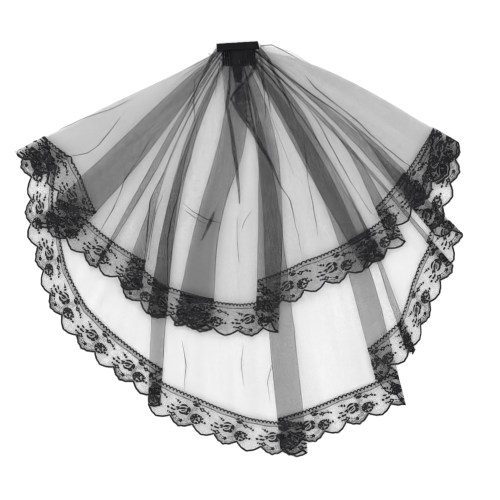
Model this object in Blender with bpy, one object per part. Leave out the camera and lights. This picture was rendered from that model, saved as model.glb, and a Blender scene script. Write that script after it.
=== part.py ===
"""Short two-tier veil of net with a scalloped floral lace edge, gathered into a ribbon band on a hair comb.

The veil lies flat, spread out like a fan: the comb and the band at the top, the two tiers of net below them,
and the longer tier underneath. X runs to the right, Y towards the band and Z up, in metres. The origin is
under the middle of the band, on the surface that the veil lies on. Directions in the fan are in degrees from
straight down, which is -Y, and are positive to the right.
"""

import math
from typing import NamedTuple

import bmesh
import bpy
from mathutils import Matrix, Vector

# Net and lace
WALL = 0.0010           # thickness of the net and of the lace
LAYER_GAP = 0.00035     # between two layers of a tier where it is folded over itself
CLEARANCE = 0.0003      # between two pieces that touch on the real veil
UPPER_REACH = 0.427     # from the band to the lace, where the upper tier is longest
LOWER_REACH = 0.638     # the same for the lower tier
LACE_WIDTH = 0.052      # from the net to the tip of a lobe
LOBE_LENGTH = 0.0395    # of one scallop, along the lace
LOBE_DEPTH = 0.0107     # of the notch between two scallops
LOBE_FULLNESS = 0.8     # power of the sine that rounds a scallop: under 1 is fuller than a sine

# Band of folded ribbon
BAND_LENGTH = 0.069
BAND_DEPTH = 0.0125
BAND_WALL = 0.0010
BAND_FOLD_RADIUS = 0.0015   # outside the ribbon, at each edge of its closed side
BAND_END_SLANT = 0.0025     # how much further the right end reaches at the mouth than at the closed side
BAND_TURN = math.radians(3.5)
GATHER_INSET = 0.003        # from an end of the band to the outermost net inside it
GATHER_DEPTH = 0.0098       # how far the gathered net reaches into the band

# Comb
COMB_LENGTH = 0.055
COMB_OFFSET = 0.002     # the comb's middle lies to the right of the band's
SPINE_THICKNESS = 0.0026
SPINE_INSET = 0.00325   # from the mouth of the band to the front of the spine
TOOTH_COUNT = 14
TOOTH_WIDTH = 0.0024
TOOTH_SHOWS = 0.0262    # from the mouth of the band to the tips
TIP_HEIGHT = 0.0003     # of the underside of the tips over the surface

# How the net comes down from the comb to the surface
COMB_MARGIN = 0.008     # how far past the tips the net still lies level
SLOPE_RUN = 0.056       # length of the slope after that

# Heights that follow from the layers
MOST_LAYERS = 3
LAYER_PITCH = WALL + LAYER_GAP
TIER_HEIGHT = MOST_LAYERS * WALL + (MOST_LAYERS - 1) * LAYER_GAP
UPPER_BASE = TIER_HEIGHT + CLEARANCE
SPINE_BOTTOM = BAND_WALL + CLEARANCE
LIFT = SPINE_BOTTOM + SPINE_THICKNESS + CLEARANCE
BAND_HEIGHT = LIFT + UPPER_BASE + TIER_HEIGHT + CLEARANCE + BAND_WALL
GATHER_LENGTH = BAND_LENGTH - 2 * GATHER_INSET
MOUTH = -BAND_DEPTH / 2

# How finely the surfaces are divided
TURN_STEPS = 3          # flat faces round a fold
SLOPE_STEPS = 3
FLAT_STEPS = 4          # from the foot of the slope to the lace
LOBE_STEPS = 4
PANEL_SPREAD = 9.0      # widest angle that one strip of net takes up at the lace, degrees


class FoldLine(NamedTuple):
    """One line of a tier, from the band to the lace."""

    band: float    # place in the gathered length, as a share of it from the left
    near: float    # direction at a third of its reach, degrees
    far: float     # direction at two thirds, degrees
    hem: float     # direction at the lace, degrees
    reach: float   # from the fan's centre to the lace, share of the tier's reach
    layer: float   # layer of the net between this line and the next, 0 is the lowest


# A change of layer from one row to the next is a fold along the second row's line
UPPER_CHART = [
    #        band   near    far    hem   reach layer
    FoldLine(0.000, -69.2, -67.0, -65.8, 0.834, 2),
    FoldLine(0.020, -62.0, -60.0, -57.1, 0.780, 2),
    FoldLine(0.040, -54.0, -51.5, -50.8, 0.794, 2),
    FoldLine(0.075, -45.0, -40.7, -41.1, 0.847, 1),
    FoldLine(0.040, -58.0, -52.0, -50.2, 0.918, 0),
    FoldLine(0.100, -49.0, -43.0, -41.1, 0.894, 0),
    FoldLine(0.160, -40.0, -33.6, -33.0, 0.900, 1),
    FoldLine(0.145, -43.2, -36.4, -33.8, 0.900, 2),
    FoldLine(0.230, -37.5, -30.2, -23.5, 0.906, 1),
    FoldLine(0.225, -37.9, -30.6, -27.2, 0.918, 0),
    FoldLine(0.305, -31.5, -21.8, -16.0, 0.979, 1),
    FoldLine(0.290, -33.5, -25.0, -20.0, 0.964, 2),
    FoldLine(0.470,  10.0,  -6.5,  -5.5, 0.984, 1),
    FoldLine(0.360, -10.0, -13.8, -13.2, 0.983, 0),
    FoldLine(0.480,  12.0,   2.0,   0.7, 1.000, 0),
    FoldLine(0.580,  27.0,  15.8,   9.6, 0.990, 1),
    FoldLine(0.530,  16.0,   8.0,   4.9, 0.910, 2),
    FoldLine(0.610,  32.0,  21.0,  17.3, 0.871, 2),
    FoldLine(0.700,  52.0,  38.4,  36.0, 0.873, 1),
    FoldLine(0.640,  32.5,  30.0,  30.0, 0.870, 0),
    FoldLine(0.785,  55.0,  50.2,  43.0, 0.880, 1),
    FoldLine(0.780,  54.5,  50.0,  41.0, 0.826, 2),
    FoldLine(0.885,  60.3,  58.0,  54.0, 0.814, 1),
    FoldLine(0.880,  60.0,  57.7,  49.8, 0.820, 0),
    FoldLine(0.940,  70.0,  64.0,  60.9, 0.822, 0),
    FoldLine(1.000,  82.0,  73.0,  68.4, 0.831, 0),
]
LOWER_CHART = [
    FoldLine(0.000, -69.0, -67.0, -65.5, 0.556, 0),
    FoldLine(0.050, -60.0, -58.0, -57.0, 0.572, 0),
    FoldLine(0.090, -53.5, -51.5, -50.0, 0.638, 0),
    FoldLine(0.120, -48.5, -46.5, -45.0, 0.667, 0),
    FoldLine(0.160, -42.0, -39.5, -38.0, 0.732, 0),
    FoldLine(0.200, -36.5, -32.5, -30.5, 0.785, 0),
    FoldLine(0.250, -31.0, -25.0, -22.0, 0.822, 0),
    FoldLine(0.310, -26.0, -17.9, -13.2, 0.863, 1),
    FoldLine(0.280, -29.0, -21.8, -15.1, 0.886, 2),
    FoldLine(0.370, -12.0, -10.0,  -6.0, 0.924, 2),
    FoldLine(0.460,   3.0,   1.5,   2.0, 0.969, 2),
    FoldLine(0.560,  17.0,  12.1,  10.1, 1.000, 1),
    FoldLine(0.520,  11.5,   6.5,   6.2, 0.976, 0),
    FoldLine(0.600,  24.0,  19.0,  16.5, 0.950, 0),
    FoldLine(0.700,  40.0,  32.6,  26.4, 0.944, 1),
    FoldLine(0.660,  34.0,  28.3,  23.6, 0.858, 2),
    FoldLine(0.765,  44.0,  37.0,  31.6, 0.830, 1),
    FoldLine(0.760,  43.7,  36.4,  30.2, 0.840, 0),
    FoldLine(0.785,  46.5,  40.5,  36.7, 0.769, 0),
    FoldLine(0.815,  49.0,  44.0,  40.4, 0.740, 0),
    FoldLine(0.845,  52.0,  48.0,  45.6, 0.716, 1),
    FoldLine(0.840,  51.7,  47.6,  44.6, 0.710, 2),
    FoldLine(0.940,  60.0,  54.5,  51.5, 0.672, 1),
    FoldLine(0.930,  58.0,  51.5,  47.8, 0.625, 0),
    FoldLine(0.965,  68.0,  63.0,  60.0, 0.583, 0),
    FoldLine(1.000,  82.0,  73.0,  68.0, 0.556, 0),
]
# The upper lace is longer than the net it edges, and its two ends are turned under at the corners
LEFT_LACE_END = FoldLine(0.020, -62.0, -60.0, -57.5, 0.784, 1)
RIGHT_LACE_CORNER = FoldLine(1.000, 82.0, 73.0, 68.4, 0.831, 1)
RIGHT_LACE_END = FoldLine(0.960, 74.0, 66.0, 57.5, 0.840, 1)


class ToothSection(NamedTuple):
    """One section of a tooth, past the mouth of the band."""

    along: float       # distance from the mouth, share of the length that shows
    width: float       # share of the tooth's width
    thickness: float   # share of the spine's thickness
    drop: float        # 0 is level with the spine, 1 is at the height of the tips


TOOTH_SECTIONS = [
    ToothSection(0.04, 1.00, 1.00, 0.00),
    ToothSection(0.45, 0.90, 0.85, 0.40),
    ToothSection(0.86, 0.70, 0.65, 0.90),
    ToothSection(1.00, 0.30, 0.40, 1.00),
]


class Finish(NamedTuple):
    """Colour and gloss of a material."""

    colour: tuple
    roughness: float


NET = Finish((0.012, 0.012, 0.014), 0.9)
LACE = Finish((0.008, 0.008, 0.010), 0.8)
RIBBON = Finish((0.006, 0.006, 0.008), 0.5)
PLASTIC = Finish((0.005, 0.005, 0.006), 0.25)


class Ray(NamedTuple):
    """A fold line, or a line between two, with the pose of the wall along it."""

    line: FoldLine
    side: float         # how far the middle of the wall lies to the right of the line
    height: float       # of the middle of the wall over the tier's base
    facing_right: float
    facing_up: float


def clear_scene():
    for old in list(bpy.data.objects):
        bpy.data.objects.remove(old)


def add_object(name, bm, finish):
    """Makes one named object from the mesh, with its faces pointing out and its own material."""
    bmesh.ops.recalc_face_normals(bm, faces=bm.faces)
    mesh = bpy.data.meshes.new(name)
    bm.to_mesh(mesh)
    bm.free()
    made = bpy.data.objects.new(name, mesh)
    bpy.context.scene.collection.objects.link(made)
    material = bpy.data.materials.new(name)
    material.use_nodes = True
    shader = material.node_tree.nodes["Principled BSDF"]
    shader.inputs["Base Color"].default_value = (*finish.colour, 1.0)
    shader.inputs["Roughness"].default_value = finish.roughness
    material.diffuse_color = (*finish.colour, 1.0)
    mesh.materials.append(material)
    return made


def from_band(x, y):
    """Plan point given in the band's own directions, which are turned a little."""
    return Vector((x, y)) @ Matrix.Rotation(-BAND_TURN, 2)


def to_band(point):
    return point @ Matrix.Rotation(BAND_TURN, 2)


def blended(first, second, share):
    """The line that lies the given share of the way from the first line to the second."""
    return FoldLine(*(a + (b - a) * share for a, b in zip(first, second)))


def chart_points(line, reach):
    """The four plan points that a line runs through, at the mouth, a third, two thirds and the lace."""
    centre = from_band(0, MOUTH)
    points = [from_band((line.band - 0.5) * GATHER_LENGTH, MOUTH)]
    for third, degrees in enumerate((line.near, line.far, line.hem), start=1):
        angle = math.radians(degrees)
        points.append(centre + Vector((math.sin(angle), -math.cos(angle))) * (reach * line.reach * third / 3))
    return points


def point_along(line, reach, share):
    """Plan point at a share of a line: straight runs with each corner rounded over half a run to each side."""
    points = chart_points(line, reach)
    run = min(max(int(share * 3), 0), 2)
    place = points[run].lerp(points[run + 1], share * 3 - run)
    half = 1 / 6
    for corner in (1, 2):
        inside = half - abs(share - corner / 3)
        if inside > 0:
            bend = points[corner - 1] - 2 * points[corner] + points[corner + 1]
            place += bend * (3 * inside ** 2 / (4 * half))
    return place


def direction_along(line, reach, share):
    step = 0.001
    return (point_along(line, reach, share + step) - point_along(line, reach, share - step)).normalized()


def distance_from_mouth(point):
    local = to_band(point)
    beside = max(abs(local.x) - GATHER_LENGTH / 2, 0)
    below = max(MOUTH - local.y, 0)
    return math.hypot(beside, below)


def share_at(line, reach, distance):
    """Where along a line the net is the given distance from the mouth, found by halving."""
    low, high = 0.0, 1.0
    for _ in range(24):
        middle = (low + high) / 2
        if distance_from_mouth(point_along(line, reach, middle)) < distance:
            low = middle
        else:
            high = middle
    return high


def slope_rings():
    """Distances from the mouth of the rows on the slope, and the share of the lift that is left at each."""
    start = TOOTH_SHOWS + COMB_MARGIN
    rings = []
    for step in range(SLOPE_STEPS + 1):
        fallen = step / SLOPE_STEPS
        rings.append((start + SLOPE_RUN * fallen, 1 - fallen * fallen * (3 - 2 * fallen)))
    return rings


def lift_at(point):
    """How much higher the net lies over the comb and on the slope after it, straight from ring to ring."""
    distance = distance_from_mouth(point)
    rings = slope_rings()
    if distance <= rings[0][0]:
        return LIFT
    for (start, upper), (end, lower) in zip(rings, rings[1:]):
        if distance < end:
            return LIFT * (upper + (lower - upper) * (distance - start) / (end - start))
    return 0.0


def layer_height(layer):
    return layer * LAYER_PITCH + WALL / 2


def rays_across(chart, places_between):
    """Walks across a tier: each panel is flat in its layer, and each fold is a half turn to the next layer."""
    rays = []
    for before, after in zip(chart, chart[1:]):
        heading = math.copysign(1, after.hem - before.hem)
        height = layer_height(before.layer)
        if not rays:
            rays.append(Ray(before, 0.0, height, 0.0, heading))
        for share in places_between(before, after):
            rays.append(Ray(blended(before, after, share), 0.0, height, 0.0, heading))
        rays.append(Ray(after, 0.0, height, 0.0, heading))
        if after.layer != before.layer:
            rays += half_turn(after, height, layer_height(after.layer), heading)
    return rays


def half_turn(line, height, next_height, heading):
    """Rays round a fold along a line, after the last ray of the panel before it."""
    radius = (next_height - height) / 2
    rays = []
    for step in range(1, TURN_STEPS + 1):
        angle = math.pi * step / TURN_STEPS
        rays.append(Ray(
            line,
            side=heading * abs(radius) * math.sin(angle),
            height=height + radius * (1 - math.cos(angle)),
            facing_right=-math.copysign(math.sin(angle), radius),
            facing_up=heading * math.cos(angle),
        ))
    return rays


def wall_at(ray, plan, ahead, base):
    """The front and back point of the wall at a plan point of a ray, where ahead is the ray's direction."""
    right = Vector((-ahead.y, ahead.x))
    middle = (plan + right * ray.side).to_3d()
    middle.z = base + ray.height + lift_at(plan)
    facing = (right * ray.facing_right).to_3d()
    facing.z = ray.facing_up
    return middle + facing * (WALL / 2), middle - facing * (WALL / 2)


def closed_wall(walls):
    """A closed mesh from pairs of front and back points, a list for each ray."""
    bm = bmesh.new()
    grid = [[(bm.verts.new(front), bm.verts.new(back)) for front, back in ray] for ray in walls]
    for left, right in zip(grid, grid[1:]):
        for row in range(len(left) - 1):
            for face in (0, 1):
                a, b = left[row][face], left[row + 1][face]
                c, d = right[row][face], right[row + 1][face]
                bm.faces.new((a, b, d))
                bm.faces.new((a, d, c))
        for edge in (0, -1):
            bm.faces.new((left[edge][0], right[edge][0], right[edge][1], left[edge][1]))
    for side in (grid[0], grid[-1]):
        for first, second in zip(side, side[1:]):
            bm.faces.new((first[0], second[0], second[1], first[1]))
    return bm


def even_places(before, after):
    """Shares that divide a panel into strips of net no wider than the chosen angle."""
    strips = math.ceil(abs(after.hem - before.hem) / PANEL_SPREAD)
    return [step / strips for step in range(1, strips)]


def make_net(name, chart, reach, base):
    """One tier of net, from inside the band to the lace."""
    rings = [distance for distance, _ in slope_rings()]
    walls = []
    for ray in rays_across(chart, even_places):
        line = ray.line
        mouth = from_band((line.band - 0.5) * GATHER_LENGTH, MOUTH)
        out_of_band = from_band(0, -1)
        rows = [wall_at(ray, place, out_of_band, base) for place in (mouth - out_of_band * GATHER_DEPTH, mouth)]
        shares = [share_at(line, reach, distance) for distance in rings]
        foot = shares[-1]
        shares += [foot + (1 - foot) * step / FLAT_STEPS for step in range(1, FLAT_STEPS + 1)]
        for share in shares:
            place = point_along(line, reach, share)
            rows.append(wall_at(ray, place, direction_along(line, reach, min(share, 0.998)), base))
        walls.append(rows)
    return add_object(name, closed_wall(walls), NET)


def lobe_edge(distance):
    """Width of the lace at a distance along it."""
    fullness = abs(math.sin(math.pi * distance / LOBE_LENGTH)) ** LOBE_FULLNESS
    return LACE_WIDTH - LOBE_DEPTH * (1 - fullness)


def middle_of_lace(line, reach):
    return point_along(line, reach, 1) + direction_along(line, reach, 0.998) * (LACE_WIDTH / 2)


def panel_length(before, after, reach):
    """Length of the lace along one panel, halfway across its width."""
    pieces = 8
    points = [middle_of_lace(blended(before, after, step / pieces), reach) for step in range(pieces + 1)]
    return sum((second - first).length for first, second in zip(points, points[1:]))


def make_lace(name, chart, reach, base):
    """The scalloped edge of one tier, which starts just past the net and follows all its folds."""
    spacing = LOBE_LENGTH / LOBE_STEPS
    distance = 0.0

    def lobe_places(before, after):
        """Shares of a panel where a scallop starts, ends or needs a point in between."""
        nonlocal distance
        length = panel_length(before, after, reach)
        turn = math.pi * LAYER_PITCH / 2 if after.layer != before.layer else 0.0
        first = math.ceil(distance / spacing)
        places = [(step * spacing - distance) / length for step in range(first, first + int(length / spacing) + 2)]
        distance += length + turn
        return [place for place in places if spacing / 8 < place * length < length - spacing / 8]

    rays = rays_across(chart, lobe_places)
    walls, along, last = [], 0.0, None
    for ray in rays:
        ahead = direction_along(ray.line, reach, 0.998)
        right = Vector((-ahead.y, ahead.x))
        hem = point_along(ray.line, reach, 1)
        middle = (hem + ahead * (LACE_WIDTH / 2) + right * ray.side).to_3d()
        middle.z = ray.height
        along += (middle - last).length if last else 0.0
        last = middle
        ends = (hem + ahead * CLEARANCE, hem + ahead * lobe_edge(along))
        walls.append([wall_at(ray, end, ahead, base) for end in ends])
    return add_object(name, closed_wall(walls), LACE)


def arc_points(centre_y, centre_z, radius, start, end, steps=3):
    """Points of a section from one angle to another, degrees."""
    points = []
    for step in range(steps + 1):
        angle = math.radians(start + (end - start) * step / steps)
        points.append((centre_y + radius * math.cos(angle), centre_z + radius * math.sin(angle)))
    return points


def make_band():
    """The ribbon, folded over the gathered net and the comb's spine, and open towards the veil."""
    back = BAND_DEPTH / 2
    inner_radius = BAND_FOLD_RADIUS - BAND_WALL
    low, high = BAND_FOLD_RADIUS, BAND_HEIGHT - BAND_FOLD_RADIUS
    centre = back - BAND_FOLD_RADIUS
    section = [(MOUTH, 0.0)]
    section += arc_points(centre, low, BAND_FOLD_RADIUS, -90, 0)
    section += arc_points(centre, high, BAND_FOLD_RADIUS, 0, 90)
    section += [(MOUTH, BAND_HEIGHT), (MOUTH, BAND_HEIGHT - BAND_WALL)]
    section += arc_points(centre, high, inner_radius, 90, 0)
    section += arc_points(centre, low, inner_radius, 0, -90)
    section += [(MOUTH, BAND_WALL)]
    bm = bmesh.new()
    ends = []
    for side in (-1, 1):
        loop = []
        for y, z in section:
            slant = BAND_END_SLANT * (back - y) / BAND_DEPTH if side > 0 else 0.0
            plan = from_band(side * BAND_LENGTH / 2 + slant, y)
            loop.append(bm.verts.new((plan.x, plan.y, z)))
        ends.append(bm.edges.new((loop[0], loop[-1])))
        ends += [bm.edges.new(pair) for pair in zip(loop, loop[1:])]
        bm.faces.new(loop)
    bmesh.ops.bridge_loops(bm, edges=ends)
    return add_object("band", bm, RIBBON)


def make_comb():
    """The comb: a spine inside the band, with teeth drawn out of its front edge, which bend down to their tips."""
    front = MOUTH + SPINE_INSET
    back = BAND_DEPTH / 2 - BAND_WALL - CLEARANCE
    pitch = (COMB_LENGTH - TOOTH_WIDTH) / (TOOTH_COUNT - 1)
    left = COMB_OFFSET - COMB_LENGTH / 2
    borders = []
    for tooth in range(TOOTH_COUNT):
        borders += [left + tooth * pitch, left + tooth * pitch + TOOTH_WIDTH]
    bm = bmesh.new()

    def corner(x, y, z):
        plan = from_band(x, y)
        return bm.verts.new((plan.x, plan.y, z))

    top = SPINE_BOTTOM + SPINE_THICKNESS
    outline = ((front, SPINE_BOTTOM), (back, SPINE_BOTTOM), (back, top), (front, top))
    sections = [[corner(x, y, z) for y, z in outline] for x in borders]
    roots = []
    for index, (near, far) in enumerate(zip(sections, sections[1:])):
        for side in range(4):
            after = (side + 1) % 4
            face = bm.faces.new((near[side], near[after], far[after], far[side]))
            if side == 3 and index % 2 == 0:
                roots.append(face)
    bm.faces.new(sections[0])
    bm.faces.new(sections[-1])
    for tooth, face in enumerate(roots):
        draw_tooth(bm, face, left + tooth * pitch + TOOTH_WIDTH / 2)
    return add_object("comb", bm, PLASTIC)


def draw_tooth(bm, face, middle):
    """Extrudes one tooth from its face on the spine, a section at a time."""
    spine_level = SPINE_BOTTOM + SPINE_THICKNESS / 2
    level = spine_level
    for section in TOOTH_SECTIONS:
        face = bmesh.ops.extrude_discrete_faces(bm, faces=[face])["faces"][0]
        half_width = TOOTH_WIDTH * section.width / 2
        half_thickness = SPINE_THICKNESS * section.thickness / 2
        last_level = level
        level = spine_level + (TIP_HEIGHT + half_thickness - spine_level) * section.drop
        for vert in face.verts:
            across = math.copysign(half_width, to_band(vert.co.to_2d()).x - middle)
            upwards = math.copysign(half_thickness, vert.co.z - last_level)
            plan = from_band(middle + across, MOUTH - TOOTH_SHOWS * section.along)
            vert.co = (plan.x, plan.y, level + upwards)


def main():
    clear_scene()
    make_comb()
    make_band()
    make_net("lower_tulle", LOWER_CHART, LOWER_REACH, 0.0)
    make_net("upper_tulle", UPPER_CHART, UPPER_REACH, UPPER_BASE)
    make_lace("lower_lace", LOWER_CHART, LOWER_REACH, 0.0)
    upper_lace_chart = [LEFT_LACE_END, *UPPER_CHART[:-1], RIGHT_LACE_CORNER, RIGHT_LACE_END]
    make_lace("upper_lace", upper_lace_chart, UPPER_REACH, UPPER_BASE)


main()
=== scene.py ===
"""The looks of a short two-tier veil of black net, with a floral lace edge, a ribbon band and a hair comb.

The veil lies spread out on a pale surface. Each tier of net follows a chart of fold lines that run from the
band to the hem, and the lace follows the same folds. Plan directions are in degrees from straight down, that
is -Y, and are positive to the right. Lengths are in metres unless a comment says otherwise.
"""

import logging
import math
from collections.abc import Callable, Iterable, Sequence
from dataclasses import dataclass, field
from enum import Enum
from typing import NamedTuple

import bmesh
import bpy
import numpy as np
from mathutils.bvhtree import BVHTree
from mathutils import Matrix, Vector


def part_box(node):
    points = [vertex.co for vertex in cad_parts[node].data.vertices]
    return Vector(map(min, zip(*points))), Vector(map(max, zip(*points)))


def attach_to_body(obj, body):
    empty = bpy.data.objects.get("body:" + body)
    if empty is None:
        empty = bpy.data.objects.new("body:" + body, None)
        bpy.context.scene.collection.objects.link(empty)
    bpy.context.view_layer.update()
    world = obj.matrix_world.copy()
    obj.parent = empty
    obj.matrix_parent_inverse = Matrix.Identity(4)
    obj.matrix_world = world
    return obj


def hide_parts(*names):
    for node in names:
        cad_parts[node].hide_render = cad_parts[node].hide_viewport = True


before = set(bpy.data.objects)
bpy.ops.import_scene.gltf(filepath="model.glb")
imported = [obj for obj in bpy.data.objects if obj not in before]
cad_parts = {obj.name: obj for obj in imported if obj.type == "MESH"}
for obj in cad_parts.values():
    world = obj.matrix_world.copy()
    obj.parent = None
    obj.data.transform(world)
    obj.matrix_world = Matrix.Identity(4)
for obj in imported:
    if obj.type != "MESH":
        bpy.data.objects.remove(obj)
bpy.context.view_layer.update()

log = logging.getLogger("veil")
Array = np.ndarray
Colour = tuple[float, float, float]
Spots = Sequence[tuple[float, float]]
Crease = list[tuple[float, float, float]]

# Sizes shared with the solids
WALL = 0.0010
LAYER_PITCH = 0.00135
UPPER_REACH = 0.427
LOWER_REACH = 0.638
LACE_WIDTH = 0.052
LOBE_LENGTH = 0.0395
LOBE_DEPTH = 0.0107
LOBE_FULLNESS = 0.8
BAND_LENGTH = 0.069
BAND_DEPTH = 0.0125
BAND_END_SLANT = 0.0025
BAND_TURN = math.radians(3.5)
GATHER_INSET = 0.003
GATHER_DEPTH = 0.0098
GATHER_LENGTH = BAND_LENGTH - 2 * GATHER_INSET
MOUTH = -BAND_DEPTH / 2
LIFT = 0.0042
SLOPE_START = 0.0342
SLOPE_RUN = 0.056
UPPER_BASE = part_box("upper_lace")[0].z
BAND_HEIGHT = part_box("band")[1].z

# The photograph's frame
PIXEL = 0.001675
IMAGE_SIDE = 500
BAND_PIXEL = (237.3, 47.0)   # the middle of the band

# Soft waves through all the layers
WAVE_HEIGHT = 0.0026
WAVE_START = 0.03       # from the band's mouth to where they begin
WAVE_RISE = 0.12        # and on to where they are as high as they get
WAVES_ROUND = ((0.22, 17.0, 5.0, 0.0), (0.18, 31.0, -9.0, 1.3))   # size, by angle, by distance, shift

PANEL_TURN = 0.91       # of the net's cells from one folded panel to the next, radians
FIRST_TURN = 0.3        # of the first panel's cells
NEAR_HEM = 0.997        # share of a line at which the lace takes its direction
BLACK_THREAD = (0.004, 0.004, 0.005)


class Slot(Enum):
    """Material slots."""

    NET = "net"
    LACE = "lace"
    RIBBON = "band_ribbon"
    PLASTIC = "comb_plastic"


class FoldLine(NamedTuple):
    """One line of a tier, from the band to the lace."""

    band: float    # place in the gathered length, as a share of it from the left
    near: float    # direction at a third of its reach, degrees
    far: float     # direction at two thirds, degrees
    hem: float     # direction at the lace, degrees
    reach: float   # from the fan's centre to the lace, share of the tier's reach
    layer: float   # layer of the net between this line and the next, 0 is the lowest


# A change of layer from one row to the next is a fold along the second row's line
UPPER_CHART = [
    #        band   near    far    hem   reach layer
    FoldLine(0.000, -69.2, -67.0, -65.8, 0.834, 2),
    FoldLine(0.020, -62.0, -60.0, -57.1, 0.780, 2),
    FoldLine(0.040, -54.0, -51.5, -50.8, 0.794, 2),
    FoldLine(0.075, -45.0, -40.7, -41.1, 0.847, 1),
    FoldLine(0.040, -58.0, -52.0, -50.2, 0.918, 0),
    FoldLine(0.100, -49.0, -43.0, -41.1, 0.894, 0),
    FoldLine(0.160, -40.0, -33.6, -33.0, 0.900, 1),
    FoldLine(0.145, -43.2, -36.4, -33.8, 0.900, 2),
    FoldLine(0.230, -37.5, -30.2, -23.5, 0.906, 1),
    FoldLine(0.225, -37.9, -30.6, -27.2, 0.918, 0),
    FoldLine(0.305, -31.5, -21.8, -16.0, 0.979, 1),
    FoldLine(0.290, -33.5, -25.0, -20.0, 0.964, 2),
    FoldLine(0.470,  10.0,  -6.5,  -5.5, 0.984, 1),
    FoldLine(0.360, -10.0, -13.8, -13.2, 0.983, 0),
    FoldLine(0.480,  12.0,   2.0,   0.7, 1.000, 0),
    FoldLine(0.580,  27.0,  15.8,   9.6, 0.990, 1),
    FoldLine(0.530,  16.0,   8.0,   4.9, 0.910, 2),
    FoldLine(0.610,  32.0,  21.0,  17.3, 0.871, 2),
    FoldLine(0.700,  52.0,  38.4,  36.0, 0.873, 1),
    FoldLine(0.640,  32.5,  30.0,  30.0, 0.870, 0),
    FoldLine(0.785,  55.0,  50.2,  43.0, 0.880, 1),
    FoldLine(0.780,  54.5,  50.0,  41.0, 0.826, 2),
    FoldLine(0.885,  60.3,  58.0,  54.0, 0.814, 1),
    FoldLine(0.880,  60.0,  57.7,  49.8, 0.820, 0),
    FoldLine(0.940,  70.0,  64.0,  60.9, 0.822, 0),
    FoldLine(1.000,  82.0,  73.0,  68.4, 0.831, 0),
]
LOWER_CHART = [
    FoldLine(0.000, -69.0, -67.0, -65.5, 0.556, 0),
    FoldLine(0.050, -60.0, -58.0, -57.0, 0.572, 0),
    FoldLine(0.090, -53.5, -51.5, -50.0, 0.638, 0),
    FoldLine(0.120, -48.5, -46.5, -45.0, 0.667, 0),
    FoldLine(0.160, -42.0, -39.5, -38.0, 0.732, 0),
    FoldLine(0.200, -36.5, -32.5, -30.5, 0.785, 0),
    FoldLine(0.250, -31.0, -25.0, -22.0, 0.822, 0),
    FoldLine(0.310, -26.0, -17.9, -13.2, 0.863, 1),
    FoldLine(0.280, -29.0, -21.8, -15.1, 0.886, 2),
    FoldLine(0.370, -12.0, -10.0,  -6.0, 0.924, 2),
    FoldLine(0.460,   3.0,   1.5,   2.0, 0.969, 2),
    FoldLine(0.560,  17.0,  12.1,  10.1, 1.000, 1),
    FoldLine(0.520,  11.5,   6.5,   6.2, 0.976, 0),
    FoldLine(0.600,  24.0,  19.0,  16.5, 0.950, 0),
    FoldLine(0.700,  40.0,  32.6,  26.4, 0.944, 1),
    FoldLine(0.660,  34.0,  28.3,  23.6, 0.858, 2),
    FoldLine(0.765,  44.0,  37.0,  31.6, 0.830, 1),
    FoldLine(0.760,  43.7,  36.4,  30.2, 0.840, 0),
    FoldLine(0.785,  46.5,  40.5,  36.7, 0.769, 0),
    FoldLine(0.815,  49.0,  44.0,  40.4, 0.740, 0),
    FoldLine(0.845,  52.0,  48.0,  45.6, 0.716, 1),
    FoldLine(0.840,  51.7,  47.6,  44.6, 0.710, 2),
    FoldLine(0.940,  60.0,  54.5,  51.5, 0.672, 1),
    FoldLine(0.930,  58.0,  51.5,  47.8, 0.625, 0),
    FoldLine(0.965,  68.0,  63.0,  60.0, 0.583, 0),
    FoldLine(1.000,  82.0,  73.0,  68.0, 0.556, 0),
]
# The upper lace is longer than the net it edges, and its two ends are turned under at the corners
LEFT_LACE_END = FoldLine(0.020, -62.0, -60.0, -57.5, 0.784, 1)
RIGHT_LACE_CORNER = FoldLine(1.000, 82.0, 73.0, 68.4, 0.831, 1)
RIGHT_LACE_END = FoldLine(0.960, 74.0, 66.0, 57.5, 0.840, 1)


def seen_at(crease: Crease) -> Crease:
    """A crease read in the photograph, as whole millimetres from the band's middle.

    Args:
        crease: Places in the photograph's pixels, each with a width in millimetres.

    Returns:
        The same places to the right and towards the band, with their widths.
    """
    scale = PIXEL * 1000
    return [(round((x - BAND_PIXEL[0]) * scale), round(-(y - BAND_PIXEL[1]) * scale), width)
            for x, y, width in crease]
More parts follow.
